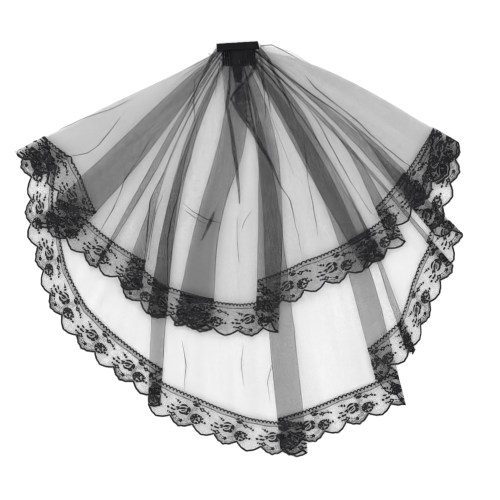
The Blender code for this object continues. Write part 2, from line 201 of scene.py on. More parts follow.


# Thin pleats pressed into each tier, and the tucks at the band, read off the photograph. A row is points
# from the middle of the band with a width, all in millimetres, or places in the photograph's pixels where
# seen_at says so.
UPPER_CREASES = [
    seen_at([(195, 80, 1.2), (194, 105, 1.9), (197, 135, 1.8), (190, 160, 2), (180, 190, 1.8),
             (171, 222, 2.2), (168, 240, 2), (168, 290, 1.2)]),
    seen_at([(150, 140, 1), (135, 165, 1.6), (125, 180, 1.6), (120, 193, 1.9), (112, 212, 1.6),
             (100, 232, 1.4), (90, 247, 1)]),
    seen_at([(165, 173, 1.2), (155, 190, 2), (150, 203, 2.2), (147, 235, 2.4), (145, 262, 2),
             (137, 293, 1.2)]),
    seen_at([(163, 195, 1), (156, 212, 1.6), (152, 235, 1.7), (149, 260, 1)]),
    [(-12, -34, 2), (-13, -69, 2.6), (-16, -98, 4.2), (-14, -112, 5), (-10, -142, 6.5), (-5, -173, 7.5),
     (1, -223, 5), (4, -262, 2)],
    [(31, -19, 7), (28, -34, 6.5), (25, -44, 6), (18, -54, 6), (6, -65, 6), (-5, -78, 5.5), (-11, -88, 4)],
    [(-11, -86, 4), (-4, -98, 5), (2, -108, 6.5), (16, -128, 7.5), (27, -145, 7.5), (41, -170, 7),
     (55, -192, 5.5), (72, -231, 3), (88, -256, 2), (103, -323, 1.6), (108, -348, 1)],
    seen_at([(308, 108, 1), (318, 122, 2), (335, 155, 1.8), (350, 182, 1.8), (372, 215, 1)]),
    seen_at([(303, 130, 1), (307, 175, 1.7), (318, 235, 1)]),
    seen_at([(305, 75, 1), (315, 88, 2.2), (345, 112, 2.2), (358, 122, 2.2), (370, 135, 2), (400, 160, 1.8),
             (412, 168, 1)]),
    seen_at([(60, 130, 1), (82, 119, 1.6), (110, 110, 1.6), (130, 100, 1)]),
    seen_at([(70, 157, 1), (88, 153, 1.6), (100, 145, 1.8), (110, 132, 1.6), (120, 118, 1)]),
    seen_at([(217, 50, 5), (211, 60, 6), (205, 72, 4.5), (196, 92, 2.5), (186, 112, 1.2)]),
    seen_at([(208, 54, 1.5), (216, 58, 2.6), (224, 62, 1.8)]),
    seen_at([(220, 64, 1.5), (217, 80, 2.2), (215, 94, 1)]),
    seen_at([(259, 49, 6), (267, 59, 7), (274, 72, 6), (284, 92, 4), (296, 120, 1.6)]),
    seen_at([(258, 52, 5), (262, 64, 4.6), (263, 80, 3.4), (265, 96, 2.2), (266, 118, 1.2)]),
    seen_at([(257, 66, 2), (262, 82, 2.6), (268, 95, 2), (271, 112, 1.2)]),
    seen_at([(260, 47, 3), (272, 46, 3), (284, 52, 2.4), (300, 60, 1.4)]),
    [(0, -5, 24), (0, -33, 19), (3, -49, 18), (2, -60, 10), (0, -69, 4)],
    [(0, -8, 20), (0, -36, 15), (2, -50, 12), (3, -60, 5)],
    [(14, -60, 6), (10, -70, 18), (7, -80, 27), (8, -90, 27), (12, -102, 22), (18, -116, 15), (25, -132, 8),
     (30, -145, 4)],
    [(16, -5, 22), (20, -22, 18), (27, -31, 9), (29, -38, 6)],
    [(-92, -262, 1), (-74, -276, 1.5), (-52, -288, 1.5), (-30, -296, 1)],
    [(-86, -274, 1), (-66, -289, 1.3), (-46, -299, 1)],
    [(-38, -275, 2), (-43, -290, 7), (-51, -308, 5), (-60, -325, 1.2)],
    [(0, -288, 1), (0, -318, 1.3), (3, -362, 1)],
    [(23, -276, 1), (12, -290, 1.2), (7, -304, 1)],
]
# A wide tuck of the upper tier, more open than the rest
UPPER_LOOSE_TUCKS = [
    [(-18, -22, 17), (-18, -39, 16.7), (-17, -58, 14), (-17, -75, 11), (-17, -93, 7), (-17, -110, 3)],
]
LOWER_CREASES = [
    seen_at([(182, 340, 1), (186, 365, 1.7), (184, 390, 1)]),
    seen_at([(243, 345, 1), (241, 362, 1.6), (244, 385, 1)]),
    seen_at([(272, 365, 1), (268, 382, 1.7), (270, 402, 1)]),
    [(-14, -5, 28), (-13, -20, 26), (-13, -33, 24)],
    [(15, -5, 28), (15, -20, 27), (15, -33, 26)],
    [(0, -30, 17), (2, -50, 14), (1, -60, 6)],
]


def unit(vectors: Array) -> Array:
    """Vectors of the same directions and a length of one."""
    return vectors / np.maximum(np.linalg.norm(vectors, axis=-1, keepdims=True), 1e-12)


def run_along(points: Array) -> Array:
    """How far each point lies along the line through all of them.

    Args:
        points: Points in order.

    Returns:
        A distance for each, which starts at 0.
    """
    steps = np.linalg.norm(np.diff(points, axis=0), axis=1)
    return np.concatenate([[0.0], steps.cumsum()])


def to_right_of(ahead: Array) -> Array:
    """Plan directions to the right of someone who looks along the given ones from above."""
    return np.stack([-ahead[..., 1], ahead[..., 0]], axis=-1)


def smoothstep(share: Array) -> Array:
    """A rise from 0 to 1 that starts and ends level."""
    share = np.clip(share, 0.0, 1.0)
    return share * share * (3.0 - 2.0 * share)


def from_band(x: Array | float, y: Array | float) -> Array:
    """Plan points given in the band's own directions, which are turned a little.

    Args:
        x: Along the band.
        y: Across it, from its mouth's side to its closed side.

    Returns:
        Plan points.
    """
    cos, sin = math.cos(BAND_TURN), math.sin(BAND_TURN)
    x, y = np.asarray(x, float), np.asarray(y, float)
    return np.stack([x * cos - y * sin, x * sin + y * cos], axis=-1)


def to_band(points: Array) -> Array:
    """Plan points in the band's own directions."""
    cos, sin = math.cos(BAND_TURN), math.sin(BAND_TURN)
    x, y = points[..., 0], points[..., 1]
    return np.stack([x * cos + y * sin, y * cos - x * sin], axis=-1)


def distance_from_mouth(points: Array) -> Array:
    """How far plan points lie from the edge of the band that the net comes out of.

    Args:
        points: Plan points.

    Returns:
        A distance for each.
    """
    local = to_band(points)
    beside = np.maximum(np.abs(local[..., 0]) - GATHER_LENGTH / 2, 0.0)
    below = np.maximum(MOUTH - local[..., 1], 0.0)
    return np.hypot(beside, below)


def ripple(points: Array) -> Array:
    """Height of the soft waves that run through all the layers.

    Args:
        points: Plan points.

    Returns:
        A height for each, never under zero.
    """
    x, y = points[..., 0], points[..., 1]
    distance = np.hypot(x, y)
    angle = np.arctan2(x, -y)
    waves = 0.5
    for size, by_angle, by_distance, shift in WAVES_ROUND:
        waves = waves + size * np.sin(by_angle * angle + by_distance * distance + shift)
    waves += 0.10 * np.sin(47.0 * x + 23.0 * y)
    rise = smoothstep((distance_from_mouth(points) - WAVE_START) / WAVE_RISE)
    return WAVE_HEIGHT * np.maximum(waves, 0.0) * rise


def lie_on_surface(points: Array, height: Array) -> Array:
    """Lifts plan points to the lie of the cloth, which passes over the comb and is a little wavy.

    Args:
        points: Plan points.
        height: Their heights over the lowest layer.

    Returns:
        Points in space.
    """
    lift = LIFT * (1.0 - smoothstep((distance_from_mouth(points) - SLOPE_START) / SLOPE_RUN))
    return np.concatenate([points, (height + lift + ripple(points))[..., None]], axis=-1)


def put(name: str, data: bpy.types.ID) -> bpy.types.Object:
    """Makes an object of a mesh, a lamp or a camera and adds it to the scene.

    Args:
        name: The object's name.
        data: What it shows.

    Returns:
        The object.
    """
    made = bpy.data.objects.new(name, data)
    bpy.context.scene.collection.objects.link(made)
    return made


@dataclass
class MeshStock:
    """Points, faces and map coordinates gathered from many small shapes before they become one mesh."""

    points: list[Array] = field(default_factory=list)
    faces: list[Array] = field(default_factory=list)
    cloth: list[Array] = field(default_factory=list)   # one map point for each face corner
    flow: list[Array] = field(default_factory=list)    # a second map, along and across the piece
    density: list[Array] = field(default_factory=list)  # how close the threads are, 1 is the finish's own
    count: int = 0

    def add(self, points: Array, faces: Array, cloth: Array, flow: Array, density: Array) -> None:
        """Adds one shape.

        Args:
            points: Points in space.
            faces: Four point numbers for each face, in the shape's own count.
            cloth: Map points for each corner of each face.
            flow: Map points for each point.
            density: How close the threads are at each point, 1 is the finish's own.
        """
        density = density.ravel()[faces].ravel()
        self.density.append(np.stack([density, density], axis=-1))
        self.points.append(points.reshape(-1, 3))
        self.faces.append(faces + self.count)
        self.cloth.append(cloth.reshape(-1, 2))
        self.flow.append(flow.reshape(-1, 2)[faces].reshape(-1, 2))
        self.count += len(points.reshape(-1, 3))

    def add_grid(self, points: Array, flow: Array, cloth: Array | None = None, round_rows: bool = False,
                 density: float = 1.0) -> None:
        """Adds a grid of points as a sheet of faces.

        Args:
            points: Points by row and column.
            flow: Map points by row and column.
            cloth: Map points for each corner of each face, or none to use the flow.
            round_rows: Whether the last column joins the first, as round a tube.
            density: How close the threads are, 1 is the finish's own.
        """
        rows, columns = points.shape[:2]
        faces = grid_faces(rows, columns, round_rows)
        if cloth is None:
            cloth = flow.reshape(-1, 2)[faces]
        self.add(points, faces, cloth, flow, np.full((rows, columns), density))

    def build(self, name: str, material: bpy.types.Material) -> bpy.types.Object:
        """Makes one smooth object of all that was added.

        Args:
            name: The object's name.
            material: Its finish.

        Returns:
            The object, in the scene.
        """
        mesh = bpy.data.meshes.new(name)
        mesh.from_pydata(np.concatenate(self.points).tolist(), [], np.concatenate(self.faces).tolist())
        for layer_name, maps in (("cloth", self.cloth), ("flow", self.flow), ("density", self.density)):
            layer = mesh.uv_layers.new(name=layer_name)
            layer.data.foreach_set("uv", np.concatenate(maps).astype(np.float32).ravel())
        mesh.shade_smooth()
        mesh.materials.append(material)
        log.info("%s: %d faces", name, len(mesh.polygons))
        return put(name, mesh)


def grid_faces(rows: int, columns: int, round_rows: bool = False) -> Array:
    """Point numbers of the faces between the rows and columns of a grid.

    Args:
        rows: How many rows it has.
        columns: How many columns.
        round_rows: Whether the last column joins the first.

    Returns:
        Four point numbers for each face.
    """
    numbers = np.arange(rows * columns).reshape(rows, columns)
    after = np.roll(numbers, -1, axis=1)
    if not round_rows:
        numbers, after = numbers[:, :-1], after[:, :-1]
    return np.stack([numbers[:-1], after[:-1], after[1:], numbers[1:]], axis=-1).reshape(-1, 4)


class Nodes:
    """Short calls that add shader nodes to a material and link them."""

    def __init__(self, name: str) -> None:
        """Makes a material with an empty node tree and an output.

        Args:
            name: The material's name.
        """
        self.material = bpy.data.materials.new(name)
        self.material.use_nodes = True
        self.tree = self.material.node_tree
        self.tree.nodes.clear()
        self.output = self.tree.nodes.new("ShaderNodeOutputMaterial")

    def node(self, kind: str, **settings: object) -> bpy.types.Node:
        """Adds a node of a kind with its settings.

        Args:
            kind: Its type, without the prefix that all share.
            **settings: Values of its properties.

        Returns:
            The node.
        """
        made = self.tree.nodes.new("ShaderNode" + kind)
        for setting, value in settings.items():
            setattr(made, setting, value)
        return made

    def feed(self, socket: bpy.types.NodeSocket, value: object) -> None:
        """Links a socket to another one, or sets it to a value.

        Args:
            socket: An input.
            value: An output socket, or a plain value.
        """
        if isinstance(value, bpy.types.NodeSocket):
            self.tree.links.new(value, socket)
        else:
            socket.default_value = value

    def math(self, operation: str, *values: object) -> bpy.types.NodeSocket:
        """The result of arithmetic on numbers.

        Args:
            operation: What is done.
            *values: Sockets or numbers.

        Returns:
            The result's socket.
        """
        made = self.node("Math", operation=operation)
        for socket, value in zip(made.inputs, values):
            self.feed(socket, value)
        return made.outputs[0]

    def vector(self, operation: str, *values: object, result: str = "Vector") -> bpy.types.NodeSocket:
        """The result of arithmetic on vectors.

        Args:
            operation: What is done.
            *values: Sockets or vectors.
            result: Which output is wanted.

        Returns:
            The result's socket.
        """
        made = self.node("VectorMath", operation=operation)
        for socket, value in zip(made.inputs, values):
            self.feed(socket, value)
        return made.outputs[result]

    def stretch(self, value: object, low: float, high: float, to_low: float,
                to_high: float) -> bpy.types.NodeSocket:
        """A value moved smoothly from one range to another, and kept inside it.

        Args:
            value: A socket or number.
            low: Start of the range it comes from.
            high: End of that range.
            to_low: Start of the new range.
            to_high: End of the new range.

        Returns:
            The result's socket.
        """
        made = self.node("MapRange", interpolation_type="SMOOTHSTEP")
        for name, number in zip(("Value", "From Min", "From Max", "To Min", "To Max"),
                                (value, low, high, to_low, to_high)):
            self.feed(made.inputs[name], number)
        return made.outputs["Result"]

    def noise(self, place: object, scale: float, detail: float = 2.0) -> bpy.types.NodeSocket:
        """Smooth random values at a place.

        Args:
            place: Where, as a socket.
            scale: How fine they are.
            detail: How many finer layers they have.

        Returns:
            The result's socket.
        """
        made = self.node("TexNoise")
        self.feed(made.inputs["Vector"], place)
        self.feed(made.inputs["Scale"], scale)
        self.feed(made.inputs["Detail"], detail)
        return made.outputs["Fac"]

    def map_of(self, name: str) -> bpy.types.NodeSocket:
        """One of the meshes' map layers."""
        return self.node("UVMap", uv_map=name).outputs["UV"]

    def honeycomb(self, place: object) -> bpy.types.NodeSocket:
        """Distance from the middle of a six-sided cell, which is 0.5 at the threads between cells.

        Args:
            place: Where, counted in cells.

        Returns:
            The distance's socket.
        """
        period, half = (1.0, 1.7320508, 1.0), (0.5, 0.8660254, 0.0)
        first = self.vector("SUBTRACT", self.vector("WRAP", place, period, (0.0, 0.0, 0.0)), half)
        shifted = self.vector("SUBTRACT", place, half)
        second = self.vector("SUBTRACT", self.vector("WRAP", shifted, period, (0.0, 0.0, 0.0)), half)
        nearer = self.math("LESS_THAN", self.vector("LENGTH", first, result="Value"),
                           self.vector("LENGTH", second, result="Value"))
        chosen = self.node("Mix", data_type="VECTOR")
        self.feed(chosen.inputs[0], nearer)
        self.feed(chosen.inputs[4], second)
        self.feed(chosen.inputs[5], first)
        folded = self.vector("ABSOLUTE", chosen.outputs[1])
        slanted = self.vector("DOT_PRODUCT", folded, (0.5, 0.8660254, 0.0), result="Value")
        upright = self.vector("DOT_PRODUCT", folded, (1.0, 0.0, 0.0), result="Value")
        return self.math("MAXIMUM", slanted, upright)

    def bump(self, height: object, depth: float, strength: float = 0.6) -> bpy.types.NodeSocket:
        """Surface relief from a height.

        Args:
            height: A socket of heights.
            depth: What a height of 1 comes to, in metres.
            strength: How much of it shows.

        Returns:
            The normal's socket.
        """
        made = self.node("Bump")
        self.feed(made.inputs["Height"], height)
        self.feed(made.inputs["Distance"], depth)
        self.feed(made.inputs["Strength"], strength)
        return made.outputs["Normal"]

    def shader(self, colour: Sequence[float], roughness: object, **sockets: object) -> bpy.types.Node:
        """Ends the material with a Principled shader of a colour and a roughness, and links it.

        Args:
            colour: Red, green and blue, or a socket.
            roughness: A number or a socket.
            **sockets: Other inputs, with low lines for spaces.

        Returns:
            The shader node.
        """
        made = self.node("BsdfPrincipled")
        self.feed(made.inputs["Base Color"], colour if hasattr(colour, "node") else (*colour, 1.0))
        self.feed(made.inputs["Roughness"], roughness)
        for name, value in sockets.items():
            self.feed(made.inputs[name.replace("_", " ")], value)
        self.tree.links.new(made.outputs[0], self.output.inputs["Surface"])
        return made


@dataclass(frozen=True)
class NetFinish:
    """Fine net of six-sided cells, see-through between its threads."""

    name: str
    cell: float              # width of a cell
    thread: float            # half the width of a thread, share of a cell
    colour: Colour
    unevenness: float        # how much the threads' width varies in streaks

    def material(self) -> bpy.types.Material:
        """Builds the node material.

        Returns:
            The material.
        """
        nodes = Nodes(self.name)
        place = nodes.vector("SCALE", nodes.map_of("cloth"))
        place.node.inputs["Scale"].default_value = 1.0 / self.cell
        wander = nodes.node("TexNoise")
        nodes.feed(wander.inputs["Vector"], place)
        nodes.feed(wander.inputs["Scale"], 0.35)
        shift = nodes.vector("MULTIPLY", nodes.vector("SUBTRACT", wander.outputs["Color"], (0.5, 0.5, 0.5)),
                             (0.5, 0.5, 0.0))
        cells = nodes.honeycomb(nodes.vector("ADD", place, shift))
        streak = nodes.noise(nodes.vector("MULTIPLY", nodes.map_of("flow"), (60.0, 4.0, 1.0)), 1.0, 3.0)
        widened = nodes.stretch(streak, 0.3, 0.7, self.thread * (1.0 - self.unevenness),
                                self.thread * (1.0 + self.unevenness))
        closeness = nodes.node("SeparateXYZ")
        nodes.feed(closeness.inputs[0], nodes.map_of("density"))
        inside = nodes.math("SUBTRACT", 0.5, nodes.math("MULTIPLY", widened, closeness.outputs["X"]))
        cover = nodes.math("GREATER_THAN", cells, inside)
        nodes.shader(self.colour, 0.8, Alpha=cover, Specular_IOR_Level=0.2)
        return nodes.material


@dataclass(frozen=True)
class ThreadFinish:
    """Close satin stitches, as on the flowers, the outlines and the seams."""

    name: str
    colour: Colour
    stitch: float            # from one stitch to the next
    roughness: float = 0.55

    def material(self) -> bpy.types.Material:
        """Builds the node material.

        Returns:
            The material.
        """
        nodes = Nodes(self.name)
        place = nodes.vector("MULTIPLY", nodes.map_of("flow"), (1.0 / self.stitch, 1.0 / self.stitch, 1.0))
        wave = nodes.node("TexWave", bands_direction="X", wave_profile="SIN")
        nodes.feed(wave.inputs["Vector"], place)
        nodes.feed(wave.inputs["Scale"], 0.32)
        nodes.feed(wave.inputs["Distortion"], 1.2)
        nodes.feed(wave.inputs["Detail"], 1.0)
        rough = nodes.stretch(nodes.noise(place, 0.6), 0.3, 0.7, self.roughness - 0.1, self.roughness + 0.15)
        nodes.shader(self.colour, rough, Specular_IOR_Level=0.25,
                     Normal=nodes.bump(wave.outputs["Fac"], 0.0002))
        return nodes.material


@dataclass(frozen=True)
class RibbonFinish:
    """Ribbon with a fine cross rib and a soft shine."""

    name: str
    colour: Colour
    rib: float               # from one rib to the next

    def material(self) -> bpy.types.Material:
        """Builds the node material.

        Returns:
            The material.
        """
        nodes = Nodes(self.name)
        place = nodes.map_of("flow")
        ribs = nodes.node("TexWave", bands_direction="X", wave_profile="SIN")
        along_ribs = (1.0 / self.rib, 1.0 / self.rib, 1.0)
        nodes.feed(ribs.inputs["Vector"], nodes.vector("MULTIPLY", place, along_ribs))
        nodes.feed(ribs.inputs["Scale"], 0.3142)
        nodes.feed(ribs.inputs["Distortion"], 0.4)
        lint = nodes.noise(place, 900.0, 4.0)
        height = nodes.math("ADD", nodes.math("MULTIPLY", ribs.outputs["Fac"], 0.7),
                            nodes.math("MULTIPLY", lint, 0.5))
        rough = nodes.stretch(nodes.noise(place, 120.0), 0.35, 0.65, 0.32, 0.48)
        nodes.shader(self.colour, rough, Specular_IOR_Level=0.07,
                     Normal=nodes.bump(height, 0.0003, 0.8))
        return nodes.material


@dataclass(frozen=True)
class PlasticFinish:
    """Moulded plastic, glossy with faint rubbed marks."""

    name: str
    colour: Colour

    def material(self) -> bpy.types.Material:
        """Builds the node material.

        Returns:
            The material.
        """
        nodes = Nodes(self.name)
        place = nodes.node("TexCoord").outputs["Object"]
        rubbed = nodes.noise(place, 260.0, 6.0)
        rough = nodes.stretch(rubbed, 0.35, 0.7, 0.16, 0.34)
        flow_lines = nodes.noise(nodes.vector("MULTIPLY", place, (40.0, 500.0, 40.0)), 1.0, 2.0)
        nodes.shader(self.colour, rough, Coat_Weight=0.2, Coat_Roughness=0.12,
                     Normal=nodes.bump(flow_lines, 0.00006, 0.4))
        return nodes.material


NET_FINISH = NetFinish("net", cell=0.0013, thread=0.057, colour=BLACK_THREAD, unevenness=0.12)
PLEAT_FINISH = NetFinish("net_pleats", cell=0.0012, thread=0.135, colour=BLACK_THREAD, unevenness=0.2)
GROUND_FINISH = NetFinish("lace_ground", cell=0.0010, thread=0.070, colour=BLACK_THREAD, unevenness=0.15)
STITCH_FINISH = ThreadFinish("lace_stitches", colour=BLACK_THREAD, stitch=0.00035)
SEWING_FINISH = ThreadFinish("sewing_thread", colour=BLACK_THREAD, stitch=0.0004, roughness=0.45)
RIBBON_FINISH = RibbonFinish("band_ribbon", colour=(0.0025, 0.0025, 0.003), rib=0.0007)
PLASTIC_FINISH = PlasticFinish("comb_plastic", colour=(0.002, 0.002, 0.0022))


class Rays(NamedTuple):
    """Lines along the cloth from the band to the lace, one behind the other across it."""

    lines: Array          # a chart row for each
    side: Array           # how far the wall lies to the right of its line
    height: Array         # of the wall over the tier's base
    facing_right: Array
    facing_up: Array
    panel: Array          # number of the flat panel that starts at the ray


@dataclass
class Fan:
    """One tier's way of lying: its fold lines and the plan points along them."""

    chart: list[FoldLine]
    reach: float
    base: float
    edge_bulge: float = 0.0    # how far the right edge bows out beside the band
    bulge_start: float = 0.93  # share of the gathered length from which lines bow out
    bulge_run: float = 0.07
    turn_steps: int = 6

    def corners(self, lines: Array) -> list[Array]:
        """The four plan points that each line runs through: the mouth, a third, two thirds and the lace.

        Args:
            lines: Chart rows.

        Returns:
            Plan points by line, for each of the four.
        """
        centre = from_band(0.0, MOUTH)
        corners = [from_band((lines[:, 0] - 0.5) * GATHER_LENGTH, np.full(len(lines), MOUTH))]
        for third in (1, 2, 3):
            angle = np.radians(lines[:, third])
            distance = self.reach * lines[:, 4] * third / 3
            corners.append(centre + np.stack([np.sin(angle), -np.cos(angle)], -1) * distance[:, None])
        return corners

    def along(self, lines: Array, shares: Array) -> Array:
        """Plan points at shares of the lines.

        Args:
            lines: Chart rows.
            shares: For each line, a row of shares of its length, which may pass 1.

        Returns:
            Plan points by line and share.
        """
        corners = np.stack(self.corners(lines), axis=1)
        run = np.clip((shares * 3).astype(int), 0, 2)
        start = np.take_along_axis(corners, run[..., None], axis=1)
        end = np.take_along_axis(corners, run[..., None] + 1, axis=1)
        places = start + (end - start) * (shares * 3 - run)[..., None]
        half = 1 / 6
        for corner in (1, 2):
            inside = np.maximum(half - np.abs(shares - corner / 3), 0.0)
            bend = corners[:, corner - 1] - 2 * corners[:, corner] + corners[:, corner + 1]
            places += bend[:, None] * (3 * inside ** 2 / (4 * half))[..., None]
        at_edge = smoothstep((lines[:, 0] - self.bulge_start) / self.bulge_run)[:, None]
        places[..., 1] += self.edge_bulge * at_edge * np.sin(np.pi * np.clip(shares * 3, 0.0, 1.0)) ** 0.7
        return places

    def ahead(self, lines: Array, shares: Array) -> Array:
        """Directions along the lines at the given shares.

        Args:
            lines: Chart rows.
            shares: For each line, a row of shares of its length.

        Returns:
            Directions of a length of one, by line and share.
        """
        step = 0.002
        return unit(self.along(lines, shares + step) - self.along(lines, shares - step))

    def rays(self, spacing: float, chart: Sequence[FoldLine] | None = None) -> Rays:
        """Walks across the tier, with a half turn at each fold.

        Args:
            spacing: Largest distance between two rays at the lace.
            chart: Lines to walk over, or none for the tier's own.

        Returns:
            The rays in order.
        """
        chart = chart or self.chart
        rows: list[tuple] = []
        for number, (before, after) in enumerate(zip(chart, chart[1:])):
            heading = math.copysign(1.0, after.hem - before.hem)
            height = before.layer * LAYER_PITCH + WALL / 2
            ends = self.corners(np.array([before, after]))[3]
            steps = max(1, math.ceil(np.linalg.norm(ends[1] - ends[0]) / spacing))
            for step in range(1 if rows else 0, steps + 1):
                line = np.array(before) + (np.array(after) - np.array(before)) * step / steps
                rows.append((line, 0.0, height, 0.0, heading, number))
            if after.layer != before.layer:
                rows += self.half_turn(after, height, heading, number)
        lines, *others = (np.array(column) for column in zip(*rows))
        return Rays(lines, *others)

    def half_turn(self, line: FoldLine, height: float, heading: float, panel: int) -> list[tuple]:
        """Rays round a fold, after the last ray of the panel before it.

        Args:
            line: The fold's line.
            height: Of the panel before the fold.
            heading: 1 where that panel runs to the right, -1 to the left.
            panel: Its number.

        Returns:
            A row for each ray, with the fields of Rays.
        """
        radius = (line.layer * LAYER_PITCH + WALL / 2 - height) / 2
        rows = []
        for step in range(1, self.turn_steps + 1):
            angle = math.pi * step / self.turn_steps
            rows.append((np.array(line), heading * abs(radius) * math.sin(angle),
                         height + radius * (1 - math.cos(angle)),
                         -math.copysign(math.sin(angle), radius), heading * math.cos(angle),
                         panel if step < self.turn_steps else panel + 1))
        return rows


def cloth_map(points: Array, faces: Array, panels: Array) -> Array:
    """Map points of the net, which lies at another angle in each panel, as it does where a net is folded.

    Args:
        points: Plan points of the whole mesh.
        faces: Four point numbers for each face.
        panels: The panel of each face.

    Returns:
        A map point for each corner of each face.
    """
    angle = (panels * PANEL_TURN + FIRST_TURN)[:, None]
    corners = points[faces]
    x, y = corners[..., 0] * np.where(panels % 2, 1.0, -1.0)[:, None], corners[..., 1]
    return np.stack([x * np.cos(angle) - y * np.sin(angle), x * np.sin(angle) + y * np.cos(angle)], axis=-1)


@dataclass
class Pleats:
    """Pleats and tucks that lie on a tier of net: those of a list, its pressed folds and fine gathers."""

    name: str
    creases: list[Crease]
    fan: Fan
    gathers: int
    seed: int
    loose_tucks: list[Crease] = field(default_factory=list)
    loose_density: float = 0.62
    step: float = 0.004
    around: int = 8
    thickness: float = 0.0011
    flatness: float = 0.45          # largest thickness as a share of the width
    gap: float = 0.0001             # between the net and a pleat's underside
    fine_width: float = 0.004       # pleats under this width come and go
    kink: float = 0.0005            # usual size of a sideways kink
    swell: tuple[float, float] = (0.45, 1.25)
    fold_run: tuple[float, float] = (0.12, 0.995)   # shares of a fold's line where its edge is pressed
    fold_points: int = 90
    fold_width: float = 0.0009
    gather_run: tuple[float, float] = (0.12, 0.45)  # shares of a line that a gather may reach
    gather_width: tuple[float, float] = (0.0008, 0.0017)

    def build(self, net: bpy.types.Object) -> bpy.types.Object:
        """Makes flattened tubes of net along every pleat, on top of the tier.

        Args:
            net: The tier that they lie on.

        Returns:
            The finished object.
        """
        mesh = net.data
        surface = BVHTree.FromPolygons([v.co for v in mesh.vertices], [f.vertices[:] for f in mesh.polygons])
        stock = MeshStock()
        random = np.random.default_rng(self.seed)
        for crease in (*self.creases, *self.loose_tucks):
            knots = np.array(crease, float) / 1000
            place = run_along(knots[:, :2])
            wanted = np.linspace(0.0, place[-1], max(6, int(place[-1] / self.step)))
            path = np.stack([np.interp(wanted, place, column) for column in knots.T], axis=-1)
            density = self.loose_density if crease in self.loose_tucks else 1.0
            self.lay(stock, surface, *self.roughened(random, path[:, :2], path[:, 2]), density)
        for path, width in (*self.gather_lines(random), *self.fold_lines()):
            self.lay(stock, surface, *self.roughened(random, path, width))
        return stock.build(self.name, PLEAT_FINISH.material())

    def roughened(self, random: np.random.Generator, path: Array, width: Array) -> tuple[Array, Array]:
        """A pleat with small random kinks and a width that comes and goes.

        Args:
            random: Source of the chance values.
            path: Plan points along the pleat.
            width: Its width at each.

        Returns:
            The same, changed a little.
        """
        knots = np.linspace(0, len(path) - 1, max(3, len(path) // 4))
        kinks = np.stack([np.interp(np.arange(len(path)), knots, random.normal(0, self.kink, len(knots)))
                          for _ in range(2)], axis=-1)
        swell = np.interp(np.arange(len(path)), knots, random.uniform(*self.swell, len(knots)))
        return path + kinks, width * np.where(width < self.fine_width, swell, 1.0)

    def fold_lines(self) -> Iterable[tuple[Array, Array]]:
        """The pressed edges of the tier's folds.

        Yields:
            Plan points along each edge, and its width at each.
        """
        for before, after in zip(self.fan.chart, self.fan.chart[1:]):
            if before.layer != after.layer:
                shares = np.linspace(*self.fold_run, self.fold_points)[None]
                path = self.fan.along(np.array(after)[None], shares)[0]
                yield path, np.full(self.fold_points, self.fold_width)

    def gather_lines(self, random: np.random.Generator) -> Iterable[tuple[Array, Array]]:
        """Random fine pleats that follow the fan's lines from the band outwards.

        Args:
            random: Source of the chance values.

        Yields:
            Plan points along each pleat, and its width at each.
        """
        lines = self.fan.rays(0.004).lines
        for _ in range(self.gathers):
            line = lines[random.integers(1, len(lines) - 1)][None]
            length = random.uniform(*self.gather_run)
            shares = np.linspace(0.004, length, int(length * 90))[None]
            path = self.fan.along(line, shares)[0]
            width = random.uniform(*self.gather_width) * np.linspace(1.0, 0.35, len(path))
            yield path, width

    def lay(self, stock: MeshStock, surface: BVHTree, path: Array, width: Array,
            density: float = 1.0) -> None:
        """Adds one pleat at the height of the net under it.

        Args:
            stock: The mesh that grows.
            surface: The net.
            path: Plan points along the pleat.
            width: Its width at each.
            density: How close the threads are, 1 is the finish's own.
        """
        height = np.zeros(len(path))
        for index, (x, y) in enumerate(path):
            found = surface.ray_cast((x, y, 0.1), (0.0, 0.0, -1.0))[0]
            height[index] = found.z if found else (height[index - 1] if index else BAND_HEIGHT / 2)
        height = np.maximum(height, np.maximum(np.roll(height, 1), np.roll(height, -1)))
        height = np.convolve(np.pad(height, 1, mode="edge"), (0.25, 0.5, 0.25), mode="valid")
        across = to_right_of(unit(np.gradient(path, axis=0)))
        angle = np.linspace(0.0, 2 * np.pi, self.around + 1)[:-1]
        thick = np.minimum(width * self.flatness, self.thickness) / 2
        plan = path[:, None] + across[:, None] * (width[:, None] / 2 * np.cos(angle)[None])[..., None]
        z = (height + thick + self.gap)[:, None] + thick[:, None] * np.sin(angle)[None]
        length = run_along(path)
        wrap = np.abs(np.linspace(-1.0, 1.0, self.around))[None] * width[:, None]
        flow = np.stack(np.broadcast_arrays(wrap, length[:, None] + path[0, 0]), axis=-1)
        stock.add_grid(np.concatenate([plan, z[..., None]], axis=-1), flow, round_rows=True, density=density)


